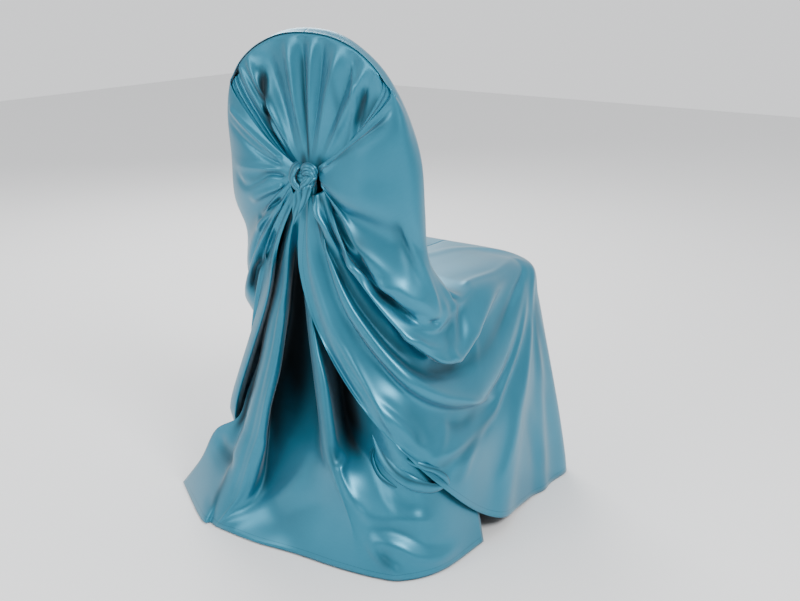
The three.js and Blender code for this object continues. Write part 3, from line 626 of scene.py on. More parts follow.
def seam_points(a):
    """The crown seam, a from -1 right to 1 left: its places on the front sheet,
    the lapped places beside it and the way out of the cloth there."""
    s = SEAM_START + (1 - np.abs(a)) * (LAST / 2 - SEAM_START)
    u = np.where(a < 0, s, LAST - s)
    order = np.argsort(u)
    us = u[order]
    ds, dw = 0.004 * LAST, 0.004 * (len(ROWS) - 1)
    at = front_points(us, np.array([0.0, dw]))
    side = front_points(us + ds, np.array([0.0]))[:, 0]
    seam, down, across = at[:, 0], at[:, 1] - at[:, 0], side - at[:, 0]
    out = unit(np.cross(across, down))
    out = np.where((out[:, 1] + out[:, 2] < 0)[:, None], -out, out)
    slip = (down * across).sum(1) / (across ** 2).sum(1)
    square = down - across * slip[:, None]
    k = SEAM_LAP / np.linalg.norm(square, axis=1)
    lap = seam + square * k[:, None]
    back = np.argsort(order)
    return seam[back], lap[back], out[back]


def panel_points(across, down):
    """The back panel's middle surface, across -1 right to 1 left: from the lap
    under the crown seam through the fan to the knot, then down the skirt's fold
    lines. The fan's pleats move it by high * open * bell(across - at)."""
    a = np.asarray(across, float)
    fold = (a + 1) / 2 * (len(SKIRT) - 1)
    xy = spline([SKIRT[name] for name in SKIRT], fold)
    height = np.broadcast_to(np.array(LEVELS, float)[None, :, None], xy.shape[:2] + (1,))
    skirt = np.concatenate([xy, height], axis=-1)
    seam, lap, out = seam_points(a)
    under = seam - out * SEAM_DEPTH
    levels = [lap - out * (SEAM_DEPTH + LAP_DEPTH)]
    edge = np.abs(a)
    for q in FAN:
        p = under + (skirt[:, 0] - under) * q
        p[:, 2] -= FAN_SAG * q * (1 - q) * edge ** 3
        p[:, 1] -= FAN_IN * math.sin(math.pi * q) * edge ** 4
        levels.append(p)
    tuck = smooth(RIM_START, 1, edge)[:, None]
    for k, p in enumerate(levels):
        right, left = np.array(POCKET["right"][k], float), np.array(POCKET["left"][k], float)
        levels[k] = p + (np.where((a < 0)[:, None], right, left) - p) * tuck
    table = np.concatenate([np.stack(levels, 1), skirt], axis=1)
    p = spline(table.transpose(1, 0, 2), np.asarray(down, float)).transpose(1, 0, 2).copy()
    s = np.asarray(down, float)
    wide_open = smooth(1, 3, s) * (1 - smooth(4, len(FAN) + 0.5, s))
    for f in GATHERS:
        p[..., 1] += f["high"] * bell(a - f["at"], f["wide"])[:, None] * wide_open[None, :]
    return p


def gusset_points(side, along, across):
    """The folded cloth between the fan's edge and a wing's upper edge: straight
    lines from just under the fan to just under the wing, from the crown down to
    the knot, with soft folds GUSSET_FOLD * |sin(3 pi across)| running along."""
    t = np.linspace(0, 1, along)
    v = np.linspace(0, 1, across)[None, :, None]
    fan = panel_points(np.array([0.86 * side]), 0.9 + t * (FAN_ROWS - 0.6))[0]
    s = 3.85 - 3.65 * t
    station = s if side < 0 else LAST - s
    order = np.argsort(station)
    wing = np.empty_like(fan)
    wing[order] = front_points(station[order], np.array([0.35]))[:, 0]
    p = fan[:, None] * (1 - v) + wing[:, None] * v
    wave = np.abs(np.sin(3 * math.pi * v[..., 0] + 0.6 * np.sin(4 * t)[:, None]))
    fold = GUSSET_FOLD * wave * np.sin(math.pi * np.clip(v[..., 0], 0, 1)) ** 0.5
    p[..., 1] += fold * (1 - 0.6 * t[:, None]) - GUSSET_FOLD
    return p


def spaced(marks):
    """Steps of a grid from a table of [place, step size]: sizes are blended
    between the marks, and the steps are spread so that each has its size."""
    marks = np.array(marks, float)
    fine = np.linspace(marks[0, 0], marks[-1, 0], 4001)
    density = 1.0 / np.interp(fine, marks[:, 0], marks[:, 1])
    count = np.concatenate([[0], np.cumsum(0.5 * (density[1:] + density[:-1]) * np.diff(fine))])
    n = int(round(count[-1]))
    return np.interp(np.linspace(0, count[-1], n + 1), count, fine)


def averaged(values, rounds):
    """A grid of values with each one brought towards its four neighbours, rounds
    times; its rims stay."""
    soft = values.copy()
    for _ in range(rounds):
        soft[1:-1, 1:-1] = 0.2 * (soft[1:-1, 1:-1] + soft[:-2, 1:-1] + soft[2:, 1:-1]
                                  + soft[1:-1, :-2] + soft[1:-1, 2:])
    return soft


def view_axes():
    """The camera's way forward, to its right and up."""
    way = Vector((math.sin(TURN) * math.cos(TIP), -math.cos(TURN) * math.cos(TIP), -math.sin(TIP)))
    right = way.cross(Vector((0, 0, 1))).normalized()
    return way, right, right.cross(way).normalized()


def cells(index):
    """The four corners of each cell of a grid of vertex numbers."""
    around = [index[:-1, :-1], index[1:, :-1], index[1:, 1:], index[:-1, 1:]]
    return np.stack(around, -1).reshape(-1, 4)


def laid_on(folds, surface, across, down, digits):
    """Folds whose points in the camera's view become places (across, down) on a
    sheet: the cell that the line of sight meets first, and there the nearest of
    SPOTS x SPOTS spots, rounded to the digits given."""
    grid = (surface(across, down) + PLACE) * MM
    n, m = grid.shape[:2]
    index = np.arange(n * m).reshape(n, m)
    tree = BVHTree.FromPolygons(grid.reshape(-1, 3).tolist(), cells(index).tolist())
    way, right, up = view_axes()
    step = np.linspace(0, 1, SPOTS)
    u, v = step[:, None, None], step[None, :, None]
    laid = []
    for fold in folds:
        places = []
        for x, y in fold.points:
            ray = way + right * ((x - VIEW_MIDDLE[0]) / VIEW_LENS) + up * ((VIEW_MIDDLE[1] - y) / VIEW_LENS)
            hit, _, cell, _ = tree.ray_cast(Vector(EYE), ray.normalized())
            i, j = divmod(cell, m - 1)
            near = grid[i, j] * (1 - u) + grid[i + 1, j] * u
            far = grid[i, j + 1] * (1 - u) + grid[i + 1, j + 1] * u
            away = ((near * (1 - v) + far * v - np.array(hit)) ** 2).sum(-1)
            a, b = divmod(int(away.argmin()), SPOTS)
            places.append((round(float(across[i] + (across[i + 1] - across[i]) * step[a]), digits[0]),
                           round(float(down[j] + (down[j + 1] - down[j]) * step[b]), digits[1])))
        laid.append(fold._replace(points=places))
    return laid


def on_front(folds):
    """Folds in the camera's view, laid on the front sheet."""
    return laid_on(folds, front_points, np.linspace(0, LAST, FRONT_FIND[0]),
                   np.linspace(0, len(ROWS) - 1, FRONT_FIND[1]), (2, 2))


def on_back(folds):
    """Folds in the camera's view, laid on the back panel."""
    return laid_on(folds, panel_points, np.linspace(-1, 1, BACK_FIND[0]),
                   np.linspace(0, FAN_ROWS + len(LEVELS) - 1, BACK_FIND[1]), (3, 2))


def fold_height(points, fold, surface):
    """crease_height of a fold along the spline through its places on the sheet."""
    steps = np.linspace(0, len(fold.points) - 1, LINE_STEPS * (len(fold.points) - 1) + 1)
    return crease_height(points, surface(spline(fold.points, steps)), fold.wide, fold.ends)


def creased(points, normals, creases, surface):
    """The points with every crease added: high * crease_height along the averaged
    normals."""
    lift = np.zeros(points.shape[:2])
    for fold in creases:
        lift += fold.high * fold_height(points, fold, surface)
    lift = averaged(lift[..., None], LIFT_ROUNDS)
    return averaged(points + averaged(normals, NORMAL_ROUNDS) * lift, 1)


def painted_fold_shade(points, normals, shades, surface):
    """Painted shade: how dark each point's colour is painted in the folds, 0 to 1:
    smooth(hollow) between where painted shade begins and where it is darkest, or where it
    is more and the point isn't on a crest, a painted shade's high * min(1, SHADE_REACH * crease_height)."""
    hollow = hollows(points, normals, HOLLOW_ROUNDS)
    painted_shade = smooth(PAINTED_SHADE_FROM, PAINTED_SHADE_TO, hollow)
    inside = smooth(CREST, OFF_CREST, hollow)
    for fold in shades:
        felt = np.minimum(1, SHADE_REACH * fold_height(points, fold, surface))
        painted_shade = np.maximum(painted_shade, fold.high * inside * felt)
    return averaged(painted_shade[..., None], PAINTED_SHADE_ROUNDS)[..., 0]


def strand(s, heart, along=64, around=56):
    """A gathered strand of cloth: an oval, half sizes wide and thick, carried
    along the path and turned so that its flat side faces away from the knot's
    heart. Its outer face has rounded wrinkles, high * (|sin(ridges pi u / 2)| - 0.6)
    with u from -1 to 1 across it. Gives its points and the painted shade of each,
    darker in the wrinkles' hollows and on the side under the strand."""
    f = np.linspace(0, 1, along)
    t = f * (len(s.path) - 1)
    line = spline(s.path, t)
    w = spline([[v] for v in s.wide], t)[:, 0]
    k = spline([[v] for v in s.thick], t)[:, 0]
    way = unit(np.gradient(line, axis=0))
    out = line - np.array(heart)
    out = unit(out - (out * way).sum(1)[:, None] * way)
    side = np.cross(way, out)
    round_end = np.sqrt(np.clip(1 - np.abs(2 * f - 1) ** 14, 0.0004, 1))
    phi = np.linspace(0, 2 * math.pi, around, endpoint=False)
    u = np.sign(np.cos(phi)) * np.abs(np.cos(phi)) ** 0.85
    bend = 0.35 * np.sin(7 * f + 2.0 * s.ridges)[:, None]
    wrinkle = np.abs(np.sin(s.ridges * math.pi / 2 * (u[None, :] + bend) + 0.7))
    face = np.clip(np.sin(phi), 0, 1)[None, :] ** 0.5
    lift = s.high * (wrinkle - 0.6) * face
    across = (w * round_end)[:, None] * u[None, :]
    up = (k * round_end)[:, None] * np.sin(phi)[None, :] + lift * round_end[:, None]
    points = line[:, None] + side[:, None] * across[..., None] + out[:, None] * up[..., None]
    # Painted shade: the underside and the wrinkles' hollows are painted darker.
    under = np.clip(-np.sin(phi) + 0.25, 0, 1)[None, :]
    painted_shade = np.clip(0.75 * (1 - wrinkle) ** 2 * face + under, 0, 1)
    return points, painted_shade * np.ones((along, 1))


def strand_mesh(name, strands, heart):
    """One closed mesh of strands: rings of each strand joined, and a pole at each
    of its ends."""
    verts, faces, uvs, painted_shades, start = [], [], [], [], 0
    for s in strands:
        points, painted_shade = strand(s, heart)
        n, m = points.shape[:2]
        index = np.arange(n * m).reshape(n, m)
        turned = np.roll(index, -1, axis=1)
        quads = np.stack([index[:-1], turned[:-1], turned[1:], index[1:]], -1).reshape(-1, 4)
        first, last = n * m, n * m + 1
        caps = [[first, int(b), int(a)] for a, b in zip(index[0], turned[0])]
        caps += [[last, int(a), int(b)] for a, b in zip(index[-1], turned[-1])]
        middle = points.mean(axis=1)
        every = np.concatenate([points.reshape(-1, 3), middle[:1], middle[-1:]])
        h = n // 2
        test = np.cross(points[h, 1] - points[h, 0], points[h + 1, 0] - points[h, 0])
        inward = (test * (points[h, 0] - middle[h])).sum() < 0
        found = quads.tolist() + caps
        found = [[v + start for v in (q[::-1] if inward else q)] for q in found]
        girth = arc(np.concatenate([points, points[:, :1]], axis=1), 1)[:, :-1]
        length = arc(points, 0)
        verts.append(every)
        faces += found
        flat = np.stack([girth, length], -1).reshape(-1, 2)
        uvs.append(np.concatenate([flat, [[0, 0], [0, length.max()]]]))
        # The poles get full painted shade.
        painted_shades.append(np.concatenate([painted_shade.ravel(), [1, 1]]))
        start += len(every)
    masks = {"painted_shade": np.concatenate(painted_shades), "hem": np.full(start, NO_HEM)}
    return cloth_object(name, np.concatenate(verts), faces, np.concatenate(uvs), masks, len(faces))


def sample(points, across, down, places):
    """Places [across, down] of a grid read off by blending its four corners."""
    i = np.clip(np.searchsorted(across, places[:, 0]) - 1, 0, len(across) - 2)
    j = np.clip(np.searchsorted(down, places[:, 1]) - 1, 0, len(down) - 2)
    u = ((places[:, 0] - across[i]) / (across[i + 1] - across[i]))[:, None]
    v = ((places[:, 1] - down[j]) / (down[j + 1] - down[j]))[:, None]
    return ((points[i, j] * (1 - u) + points[i + 1, j] * u) * (1 - v)
            + (points[i, j + 1] * (1 - u) + points[i + 1, j + 1] * u) * v)


# ---------------------------------------------------------------- meshes

NO_HEM = 0.5         # m to the nearest hem, for cloth that has none of its own

def arc(points, axis):
    """Length from the start along one axis of a grid of points."""
    step = np.linalg.norm(np.diff(points, axis=axis), axis=-1)
    zero = np.zeros_like(np.take(step, [0], axis=axis))
    return np.concatenate([zero, np.cumsum(step, axis=axis)], axis=axis)


def cloth_object(name, points, faces, uv, masks, rounded):
    """An object from points and uv in mm, with its masks as attributes and its
    first faces, as many as rounded says, shaded smooth."""
    mesh = bpy.data.meshes.new(name)
    mesh.from_pydata(((points + PLACE) * MM).tolist(), [], faces)
    mesh.update()
    loops = np.empty(len(mesh.loops), np.int64)
    mesh.loops.foreach_get("vertex_index", loops)
    mesh.uv_layers.new(name="Cloth").data.foreach_set("uv", (uv * MM)[loops].ravel())
    for mask, values in masks.items():
        attribute = mesh.attributes.new(mask, "FLOAT", "POINT")
        attribute.data.foreach_set("value", values.astype(np.float32))
    mesh.polygons.foreach_set("use_smooth", np.arange(len(mesh.polygons)) < rounded)
    piece = bpy.data.objects.new(name, mesh)
    bpy.context.scene.collection.objects.link(piece)
    return piece


def sheet_mesh(name, points, thickness, flip, masks, normals=None):
    """A thin closed sheet round a grid [across, down] of middle points: the grid
    moved half the thickness to each side along its normals, and rims between."""
    n, m = points.shape[:2]
    normal = facing(points) * (-1 if flip else 1) if normals is None else normals
    outer, inner = points + normal * thickness / 2, points - normal * thickness / 2
    index = np.arange(n * m).reshape(n, m)
    quad = cells(index)
    if flip:
        quad = quad[:, ::-1]
    under = quad[:, ::-1] + n * m
    edge = np.concatenate([index[:, 0], index[-1, 1:], index[-2::-1, -1], index[0, -2::-1]])
    rim = np.stack([edge[1:], edge[:-1], edge[:-1] + n * m, edge[1:] + n * m], -1)
    if flip:
        rim = rim[:, ::-1]
    faces = np.concatenate([quad, under, rim])
    verts = np.concatenate([outer.reshape(-1, 3), inner.reshape(-1, 3)])
    uv = np.stack([arc(points, 0), arc(points, 1)], -1).reshape(-1, 2)
    both = {mask: np.concatenate([values.ravel(), values.ravel()]) for mask, values in masks.items()}
    return cloth_object(name, verts, faces.tolist(), np.concatenate([uv, uv]), both, 2 * len(quad))


def hollows(points, normals, rounds):
    """How deep each point lies in a fold, in mm: the part along the normal of the
    way to the average of its surroundings, taken by averaging neighbours."""
    soft = points.copy()
    for _ in range(rounds):
        ring = np.pad(soft, ((1, 1), (1, 1), (0, 0)), mode="edge")
        soft = 0.2 * (soft + ring[:-2, 1:-1] + ring[2:, 1:-1] + ring[1:-1, :-2] + ring[1:-1, 2:])
    return ((soft - points) * normals).sum(-1)


# ---------------------------------------------------------------- materials

def new_group(name, inputs, outputs):
    """A shader node group with named sockets: (name, kind, default) each."""
    group = bpy.data.node_groups.new(name, "ShaderNodeTree")
    for label, kind, value in inputs:
        socket = group.interface.new_socket(name=label, in_out="INPUT", socket_type=kind)
        if value is not None:
            socket.default_value = value
    for label, kind in outputs:
        group.interface.new_socket(name=label, in_out="OUTPUT", socket_type=kind)
    return group, group.nodes.new("NodeGroupInput"), group.nodes.new("NodeGroupOutput")


def node(tree, kind, **values):
    """A node with its properties and unlinked input values set by name."""
    made = tree.nodes.new(kind)
    for key, value in values.items():
        if key.startswith("in_"):
            made.inputs[int(key[3:])].default_value = value
        else:
            setattr(made, key, value)
    return made


def math_node(tree, operation, a, b=None, c=None, clamp=False):
    """operation(a, b, c), where each is a socket or a number."""
    made = tree.nodes.new("ShaderNodeMath")
    made.operation = operation
    made.use_clamp = clamp
    for k, value in enumerate((a, b, c)):
        if value is None:
            continue
        if isinstance(value, (int, float)):
            made.inputs[k].default_value = value
        else:
            tree.links.new(value, made.inputs[k])
    return made.outputs[0]


def colour_mix(tree, factor, a, b):
    """a where factor is 0 and b where it is 1."""
    made = tree.nodes.new("ShaderNodeMix")
    made.data_type = "RGBA"
    for k, value in ((0, factor), (6, a), (7, b)):
        if isinstance(value, (int, float, tuple, list)):
            made.inputs[k].default_value = value
        else:
            tree.links.new(value, made.inputs[k])
    return made.outputs[2]


THREADS = 2200.0      # rad of the weave's wave to a metre across the cloth
STITCHES = 2200.0     # rad of the topstitch's wave to a metre along the hem
STITCH_LINE = 0.011   # m from the hem to the topstitch
STITCH_HALF = 0.0007  # half the topstitch's width, m
HEM_FOLD = 0.0125     # m of cloth turned up at the hem


def satin_group():
    """Satin: a close weave of smooth floats, slightly uneven dye and gloss, and
    painted shade: the colour darkened towards a deep colour down in the folds."""
    if "Satin" in bpy.data.node_groups:
        return bpy.data.node_groups["Satin"]
    # Its deep colour input is the painted shade's colour, and its depth input the mask of painted shade in
    # the folds.
    group, start, end = new_group(
        "Satin",
        [("Cloth", "NodeSocketVector", None), ("Place", "NodeSocketVector", None),
         ("Depth", "NodeSocketFloat", 0.0), ("Hem", "NodeSocketFloat", NO_HEM),
         ("Colour", "NodeSocketColor", (0.05, 0.3, 0.42, 1)),
         ("Shade Colour", "NodeSocketColor", (0.01, 0.05, 0.08, 1)),
         ("Roughness", "NodeSocketFloat", 0.35), ("Threads", "NodeSocketFloat", THREADS)],
        [("Colour", "NodeSocketColor"), ("Roughness", "NodeSocketFloat"), ("Height", "NodeSocketFloat")])
    link = group.links.new
    slub = node(group, "ShaderNodeTexNoise")
    stretch = node(group, "ShaderNodeVectorMath", operation="MULTIPLY")
    stretch.inputs[1].default_value = (60.0, 900.0, 1.0)
    link(start.outputs["Cloth"], stretch.inputs[0])
    link(stretch.outputs[0], slub.inputs["Vector"])
    slub.inputs["Scale"].default_value = 1.0
    slub.inputs["Detail"].default_value = 2.0
    cloud = node(group, "ShaderNodeTexNoise")
    link(start.outputs["Place"], cloud.inputs["Vector"])
    cloud.inputs["Scale"].default_value = 9.0
    cloud.inputs["Detail"].default_value = 3.0
    split = node(group, "ShaderNodeSeparateXYZ")
    link(start.outputs["Cloth"], split.inputs[0])
    warp = math_node(group, "SINE", math_node(group, "MULTIPLY", split.outputs[0], start.outputs["Threads"]))
    weft = math_node(group, "SINE", math_node(group, "MULTIPLY", split.outputs[1],
                                              math_node(group, "MULTIPLY", start.outputs["Threads"], 0.4)))
    weave = math_node(group, "MULTIPLY_ADD", warp, 0.35, math_node(group, "MULTIPLY", weft, 0.15))
    uneven = math_node(group, "MULTIPLY_ADD", cloud.outputs["Fac"], 0.30, 0.85)
    tint = node(group, "ShaderNodeVectorMath", operation="SCALE")
    link(start.outputs["Colour"], tint.inputs[0])
    dye = math_node(group, "SUBTRACT", uneven, 0.08)
    link(math_node(group, "MULTIPLY_ADD", slub.outputs["Fac"], 0.16, dye), tint.inputs["Scale"])
    line = math_node(group, "COMPARE", start.outputs["Hem"], STITCH_LINE, STITCH_HALF)
    beat = math_node(group, "SINE", math_node(group, "MULTIPLY", split.outputs[0], STITCHES))
    dash = math_node(group, "GREATER_THAN", beat, -0.3)
    stitch = math_node(group, "MULTIPLY", line, dash)
    turned = math_node(group, "LESS_THAN", start.outputs["Hem"], HEM_FOLD)
    # Painted shade: the colour is mixed towards the deep colour by the painted shade mask; the topstitch's
    # dark line is real thread.
    dark = math_node(group, "MAXIMUM", start.outputs["Depth"], math_node(group, "MULTIPLY", stitch, 0.45))
    link(colour_mix(group, dark, tint.outputs[0], start.outputs["Shade Colour"]), end.inputs["Colour"])
    even = math_node(group, "SUBTRACT", start.outputs["Roughness"], 0.05)
    gloss = math_node(group, "MULTIPLY_ADD", cloud.outputs["Fac"], 0.10, even)
    matt = math_node(group, "MULTIPLY_ADD", start.outputs["Depth"], 0.25, gloss, clamp=True)
    link(matt, end.inputs["Roughness"])
    cloth = math_node(group, "MULTIPLY_ADD", slub.outputs["Fac"], 0.6, weave)
    hem = math_node(group, "MULTIPLY", math_node(group, "SUBTRACT", turned, stitch), 3.0)
    link(math_node(group, "ADD", cloth, hem), end.inputs["Height"])
    return group


def satin(name, colour, painted_shade_colour, roughness):
    """A satin material around the shared group."""
    material = bpy.data.materials.new(name)
    material.use_nodes = True
    tree = material.node_tree
    shader = tree.nodes["Principled BSDF"]
    group = node(tree, "ShaderNodeGroup", node_tree=satin_group())
    group.inputs["Colour"].default_value = colour
    group.inputs["Shade Colour"].default_value = painted_shade_colour
    group.inputs["Roughness"].default_value = roughness
    cloth = node(tree, "ShaderNodeUVMap", uv_map="Cloth")
    place = node(tree, "ShaderNodeTexCoord")
    # The mesh's painted shade mask, read into the satin group.
    painted_shade = node(tree, "ShaderNodeAttribute", attribute_name="painted_shade", attribute_type="GEOMETRY")
    tree.links.new(cloth.outputs[0], group.inputs["Cloth"])
    tree.links.new(place.outputs["Object"], group.inputs["Place"])
    tree.links.new(painted_shade.outputs["Fac"], group.inputs["Depth"])
    hem = node(tree, "ShaderNodeAttribute", attribute_name="hem", attribute_type="GEOMETRY")
    tree.links.new(hem.outputs["Fac"], group.inputs["Hem"])
    tree.links.new(group.outputs["Colour"], shader.inputs["Base Color"])
    tree.links.new(group.outputs["Roughness"], shader.inputs["Roughness"])
    bump = node(tree, "ShaderNodeBump")
    bump.inputs["Strength"].default_value = 0.05
    bump.inputs["Distance"].default_value = 0.0002
    tree.links.new(group.outputs["Height"], bump.inputs["Height"])
    tree.links.new(bump.outputs[0], shader.inputs["Normal"])
    shader.inputs["Metallic"].default_value = 0.6
    shader.inputs["Specular IOR Level"].default_value = 0.5
    shader.inputs["Sheen Weight"].default_value = 0.15
    shader.inputs["Sheen Roughness"].default_value = 0.4
    return material


# ---------------------------------------------------------------- the add-on

class ChairCoverSatin(bpy.types.PropertyGroup):
    """Colour and finish of the satin."""
    colour: bpy.props.FloatVectorProperty(
        name="Colour", description="Colour of the satin",
        subtype="COLOR", size=4, min=0, max=1, default=(0.026, 0.195, 0.295, 1.0))
    # Painted shade: the colour that the folds are darkened towards.
    painted_shade_colour: bpy.props.FloatVectorProperty(
        name="Shade colour", description="Colour down in the folds",
        subtype="COLOR", size=4, min=0, max=1, default=(0.002, 0.007, 0.010, 1.0))
    roughness: bpy.props.FloatProperty(
        name="Roughness", description="How matt the satin is", min=0.05, max=1, default=0.37)
    thickness: bpy.props.FloatProperty(
        name="Thickness", description="Thickness of the cloth",
        unit="LENGTH", min=0.0002, max=0.002, default=0.0008)


def satin_material():
    """The one satin of the cover, made once."""
    look = bpy.context.scene.chair_cover_satin
    made = bpy.data.materials.get("Teal satin")
    return made or satin("Teal satin", tuple(look.colour), tuple(look.painted_shade_colour), look.roughness)


class CHAIRCOVER_OT_front_sheet(bpy.types.Operator):
    """Make the front sheet, right and left of its centre seam: hood, wings,
    swags, seat and skirt"""
    bl_idname = "chair_cover.front_sheet"
    bl_label = "Front sheet"

    def execute(self, context):
        look = context.scene.chair_cover_satin
        down = spaced(FRONT_DOWN)
        across = spaced(FRONT_ACROSS)
        middle = len(across) - 1
        across = np.concatenate([across, LAST - across[-2::-1]])
        points = front_points(across, down)

        def surface(places):
            return sample(points, across, down, places)

        made = creased(points, -facing(points), on_front(FRONT_CREASES) + FRONT_FALLS, surface)
        normals = -facing(made)
        # Painted shade: how dark the colour is painted down in the folds.
        painted_shade = painted_fold_shade(made, normals, on_front(FRONT_PAINTED_SHADES), surface)
        length = arc(made, 1)
        hem = (length[:, -1:] - length) * MM
        for side, part in (("right", slice(0, middle + 1)), ("left", slice(middle, None))):
            piece = sheet_mesh("satin_front_sheet_" + side, made[part], look.thickness / MM, True,
                               {"painted_shade": painted_shade[part], "hem": hem[part]}, normals[part])
            piece.data.materials.append(satin_material())
            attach(piece, "root")
            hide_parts("front_sheet")
        return {"FINISHED"}


class CHAIRCOVER_OT_back_panel(bpy.types.Operator):
    """Make the back panel: gathered fan above the knot and skirt below it"""
    bl_idname = "chair_cover.back_panel"
    bl_label = "Back panel"

    def execute(self, context):
        look = context.scene.chair_cover_satin
        across = spaced(BACK_ACROSS)
        down = spaced(BACK_DOWN)
        points = panel_points(across, down)
        normals = facing(points)
        sign = 1 if normals[len(across) // 2, -20, 1] > 0 else -1
        normals = normals * sign
        made = creased(points, normals, on_back(BACK_CREASES),
                       lambda places: sample(points, across, down, places))
        normals = facing(made) * sign
        # Painted shade: how dark the colour is painted down in the folds.
        painted_shade = painted_fold_shade(made, normals, on_back(BACK_PAINTED_SHADES),
                       lambda places: sample(made, across, down, places))
        length = arc(made, 1)
        hem = (length[:, -1:] - length) * MM
        piece = sheet_mesh("satin_back_panel", made, look.thickness / MM, sign < 0,
                           {"painted_shade": painted_shade, "hem": hem})
        piece.data.materials.append(satin_material())
        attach(piece, "root")
        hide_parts("back_panel")
        return {"FINISHED"}


class CHAIRCOVER_OT_knot(bpy.types.Operator):
    """Make the tied knot and its two hanging tails"""
    bl_idname = "chair_cover.knot"
    bl_label = "Knot and tails"

    def execute(self, context):
        for name, node_name, strands in (("satin_knot", "knot", KNOT_STRANDS),
                                         ("satin_tail_left", "tail_left", [TAIL_LEFT]),
                                         ("satin_tail_right", "tail_right", [TAIL_RIGHT])):
            piece = strand_mesh(name, strands, KNOT_HEART)
            piece.data.materials.append(satin_material())
            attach(piece, "root")
            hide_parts(node_name)
        return {"FINISHED"}


class CHAIRCOVER_OT_gussets(bpy.types.Operator):
    """Make the folded cloth between the fan and the two wings"""
    bl_idname = "chair_cover.gussets"
    bl_label = "Folds beside the fan"

    def execute(self, context):
        look = context.scene.chair_cover_satin
        for side, label in ((-1, "right"), (1, "left")):
            points = gusset_points(side, *GUSSET_GRID)
            normals = facing(points)
            flip = normals[..., 1].mean() < 0
            # Painted shade for the gussets, from how deep each point lies in their folds.
            hollow = hollows(points, -normals if flip else normals, GUSSET_ROUNDS)
            painted_shade = smooth(GUSSET_SHADE_FROM, GUSSET_SHADE_TO, hollow)
            piece = sheet_mesh("satin_gusset_" + label, points, look.thickness / MM, flip,
                               {"painted_shade": painted_shade, "hem": np.full(painted_shade.shape, NO_HEM)})
            piece.data.materials.append(satin_material())
            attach(piece, "root")
        return {"FINISHED"}


class CHAIRCOVER_OT_hem_roll(bpy.types.Operator):
    """Make the hem that is rolled up at the low point of the right swag"""
    bl_idname = "chair_cover.hem_roll"
    bl_label = "Rolled hem"

    def execute(self, context):
        piece = strand_mesh("satin_hem_roll", HEM_ROLL, HEM_HEART)
        piece.data.materials.append(satin_material())
        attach(piece, "root")
        return {"FINISHED"}


# Lights: name, place and size in m, power in W; all aim at LIT_POINT.
LIGHTS = [
    ("key", (-2.6, 1.2, 2.6), 1.0, 110),
    ("fill", (0.8, 2.8, 1.6), 1.4, 34),
    ("rim", (1.8, -1.6, 2.2), 1.4, 60),
]
LIT_POINT = (0, 0, 0.45)
FLOOR_HALF = 6        # half the floor's side, m


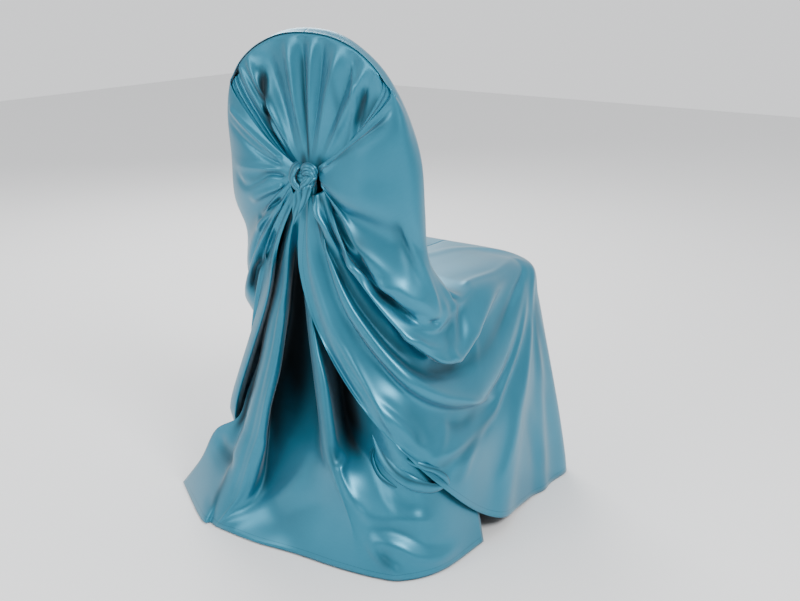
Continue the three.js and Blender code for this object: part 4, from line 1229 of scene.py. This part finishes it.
class CHAIRCOVER_OT_stage(bpy.types.Operator):
    """Make the floor, the lights and the camera"""
    bl_idname = "chair_cover.stage"
    bl_label = "Stage"

    def execute(self, context):
        scene = context.scene
        mesh = bpy.data.meshes.new("floor")
        corners = [(x * FLOOR_HALF, y * FLOOR_HALF, 0) for x, y in ((-1, -1), (1, -1), (1, 1), (-1, 1))]
        mesh.from_pydata(corners, [], [(0, 1, 2, 3)])
        floor = bpy.data.objects.new("floor", mesh)
        scene.collection.objects.link(floor)
        pale = bpy.data.materials.new("Pale floor")
        pale.use_nodes = True
        shader = pale.node_tree.nodes["Principled BSDF"]
        shader.inputs["Base Color"].default_value = (0.93, 0.93, 0.93, 1)
        shader.inputs["Roughness"].default_value = 0.7
        mesh.materials.append(pale)
        world = bpy.data.worlds.new("Studio")
        scene.world = world
        world.use_nodes = True
        sky = world.node_tree
        way = node(sky, "ShaderNodeTexCoord")
        lean = node(sky, "ShaderNodeVectorMath", operation="DOT_PRODUCT")
        lean.inputs[1].default_value = (0.50, -0.72, 0.48)
        sky.links.new(way.outputs["Generated"], lean.inputs[0])
        glow = node(sky, "ShaderNodeMapRange", interpolation_type="SMOOTHSTEP")
        for k, value in ((1, -0.5), (2, 0.6), (3, 0.42), (4, 1.15)):
            glow.inputs[k].default_value = value
        sky.links.new(lean.outputs["Value"], glow.inputs[0])
        sky.nodes["Background"].inputs[0].default_value = (0.97, 0.98, 1.0, 1)
        sky.links.new(glow.outputs[0], sky.nodes["Background"].inputs[1])
        for name, place, size, power in LIGHTS:
            light = bpy.data.lights.new(name, "AREA")
            light.energy = power
            light.size = size
            lamp = bpy.data.objects.new(name, light)
            scene.collection.objects.link(lamp)
            lamp.location = place
            aim = np.array(LIT_POINT) - np.array(place)
            lamp.rotation_euler = Vector(aim).to_track_quat("-Z", "Y").to_euler()
        camera = bpy.data.objects.new("camera", bpy.data.cameras.new("camera"))
        scene.collection.objects.link(camera)
        camera.data.sensor_width = SENSOR
        camera.data.lens = LENS
        camera.location = EYE
        camera.rotation_euler = view_axes()[0].to_track_quat("-Z", "Y").to_euler()
        scene.camera = camera
        return {"FINISHED"}


class CHAIRCOVER_PT_panel(bpy.types.Panel):
    """Sidebar panel with the pieces and the satin's settings"""
    bl_idname = "CHAIRCOVER_PT_panel"
    bl_label = "Chair cover with sash"
    bl_space_type = "VIEW_3D"
    bl_region_type = "UI"
    bl_category = "Chair cover"

    def draw(self, context):
        look = context.scene.chair_cover_satin
        for setting in ("colour", "painted_shade_colour", "roughness", "thickness"):
            self.layout.prop(look, setting)
        for piece in ("front_sheet", "back_panel", "knot", "gussets", "hem_roll", "stage"):
            self.layout.operator("chair_cover." + piece)


CLASSES = [
    ChairCoverSatin, CHAIRCOVER_OT_front_sheet, CHAIRCOVER_OT_back_panel, CHAIRCOVER_OT_knot,
    CHAIRCOVER_OT_gussets, CHAIRCOVER_OT_hem_roll, CHAIRCOVER_OT_stage, CHAIRCOVER_PT_panel,
]


def register():
    for c in CLASSES:
        bpy.utils.register_class(c)
    bpy.types.Scene.chair_cover_satin = bpy.props.PointerProperty(type=ChairCoverSatin)


def unregister():
    del bpy.types.Scene.chair_cover_satin
    for c in reversed(CLASSES):
        bpy.utils.unregister_class(c)


def main():
    register()
    bpy.ops.chair_cover.front_sheet()
    bpy.ops.chair_cover.back_panel()
    bpy.ops.chair_cover.knot()
    bpy.ops.chair_cover.gussets()
    bpy.ops.chair_cover.hem_roll()
    bpy.ops.chair_cover.stage()


if __name__ == "__main__":
    main()
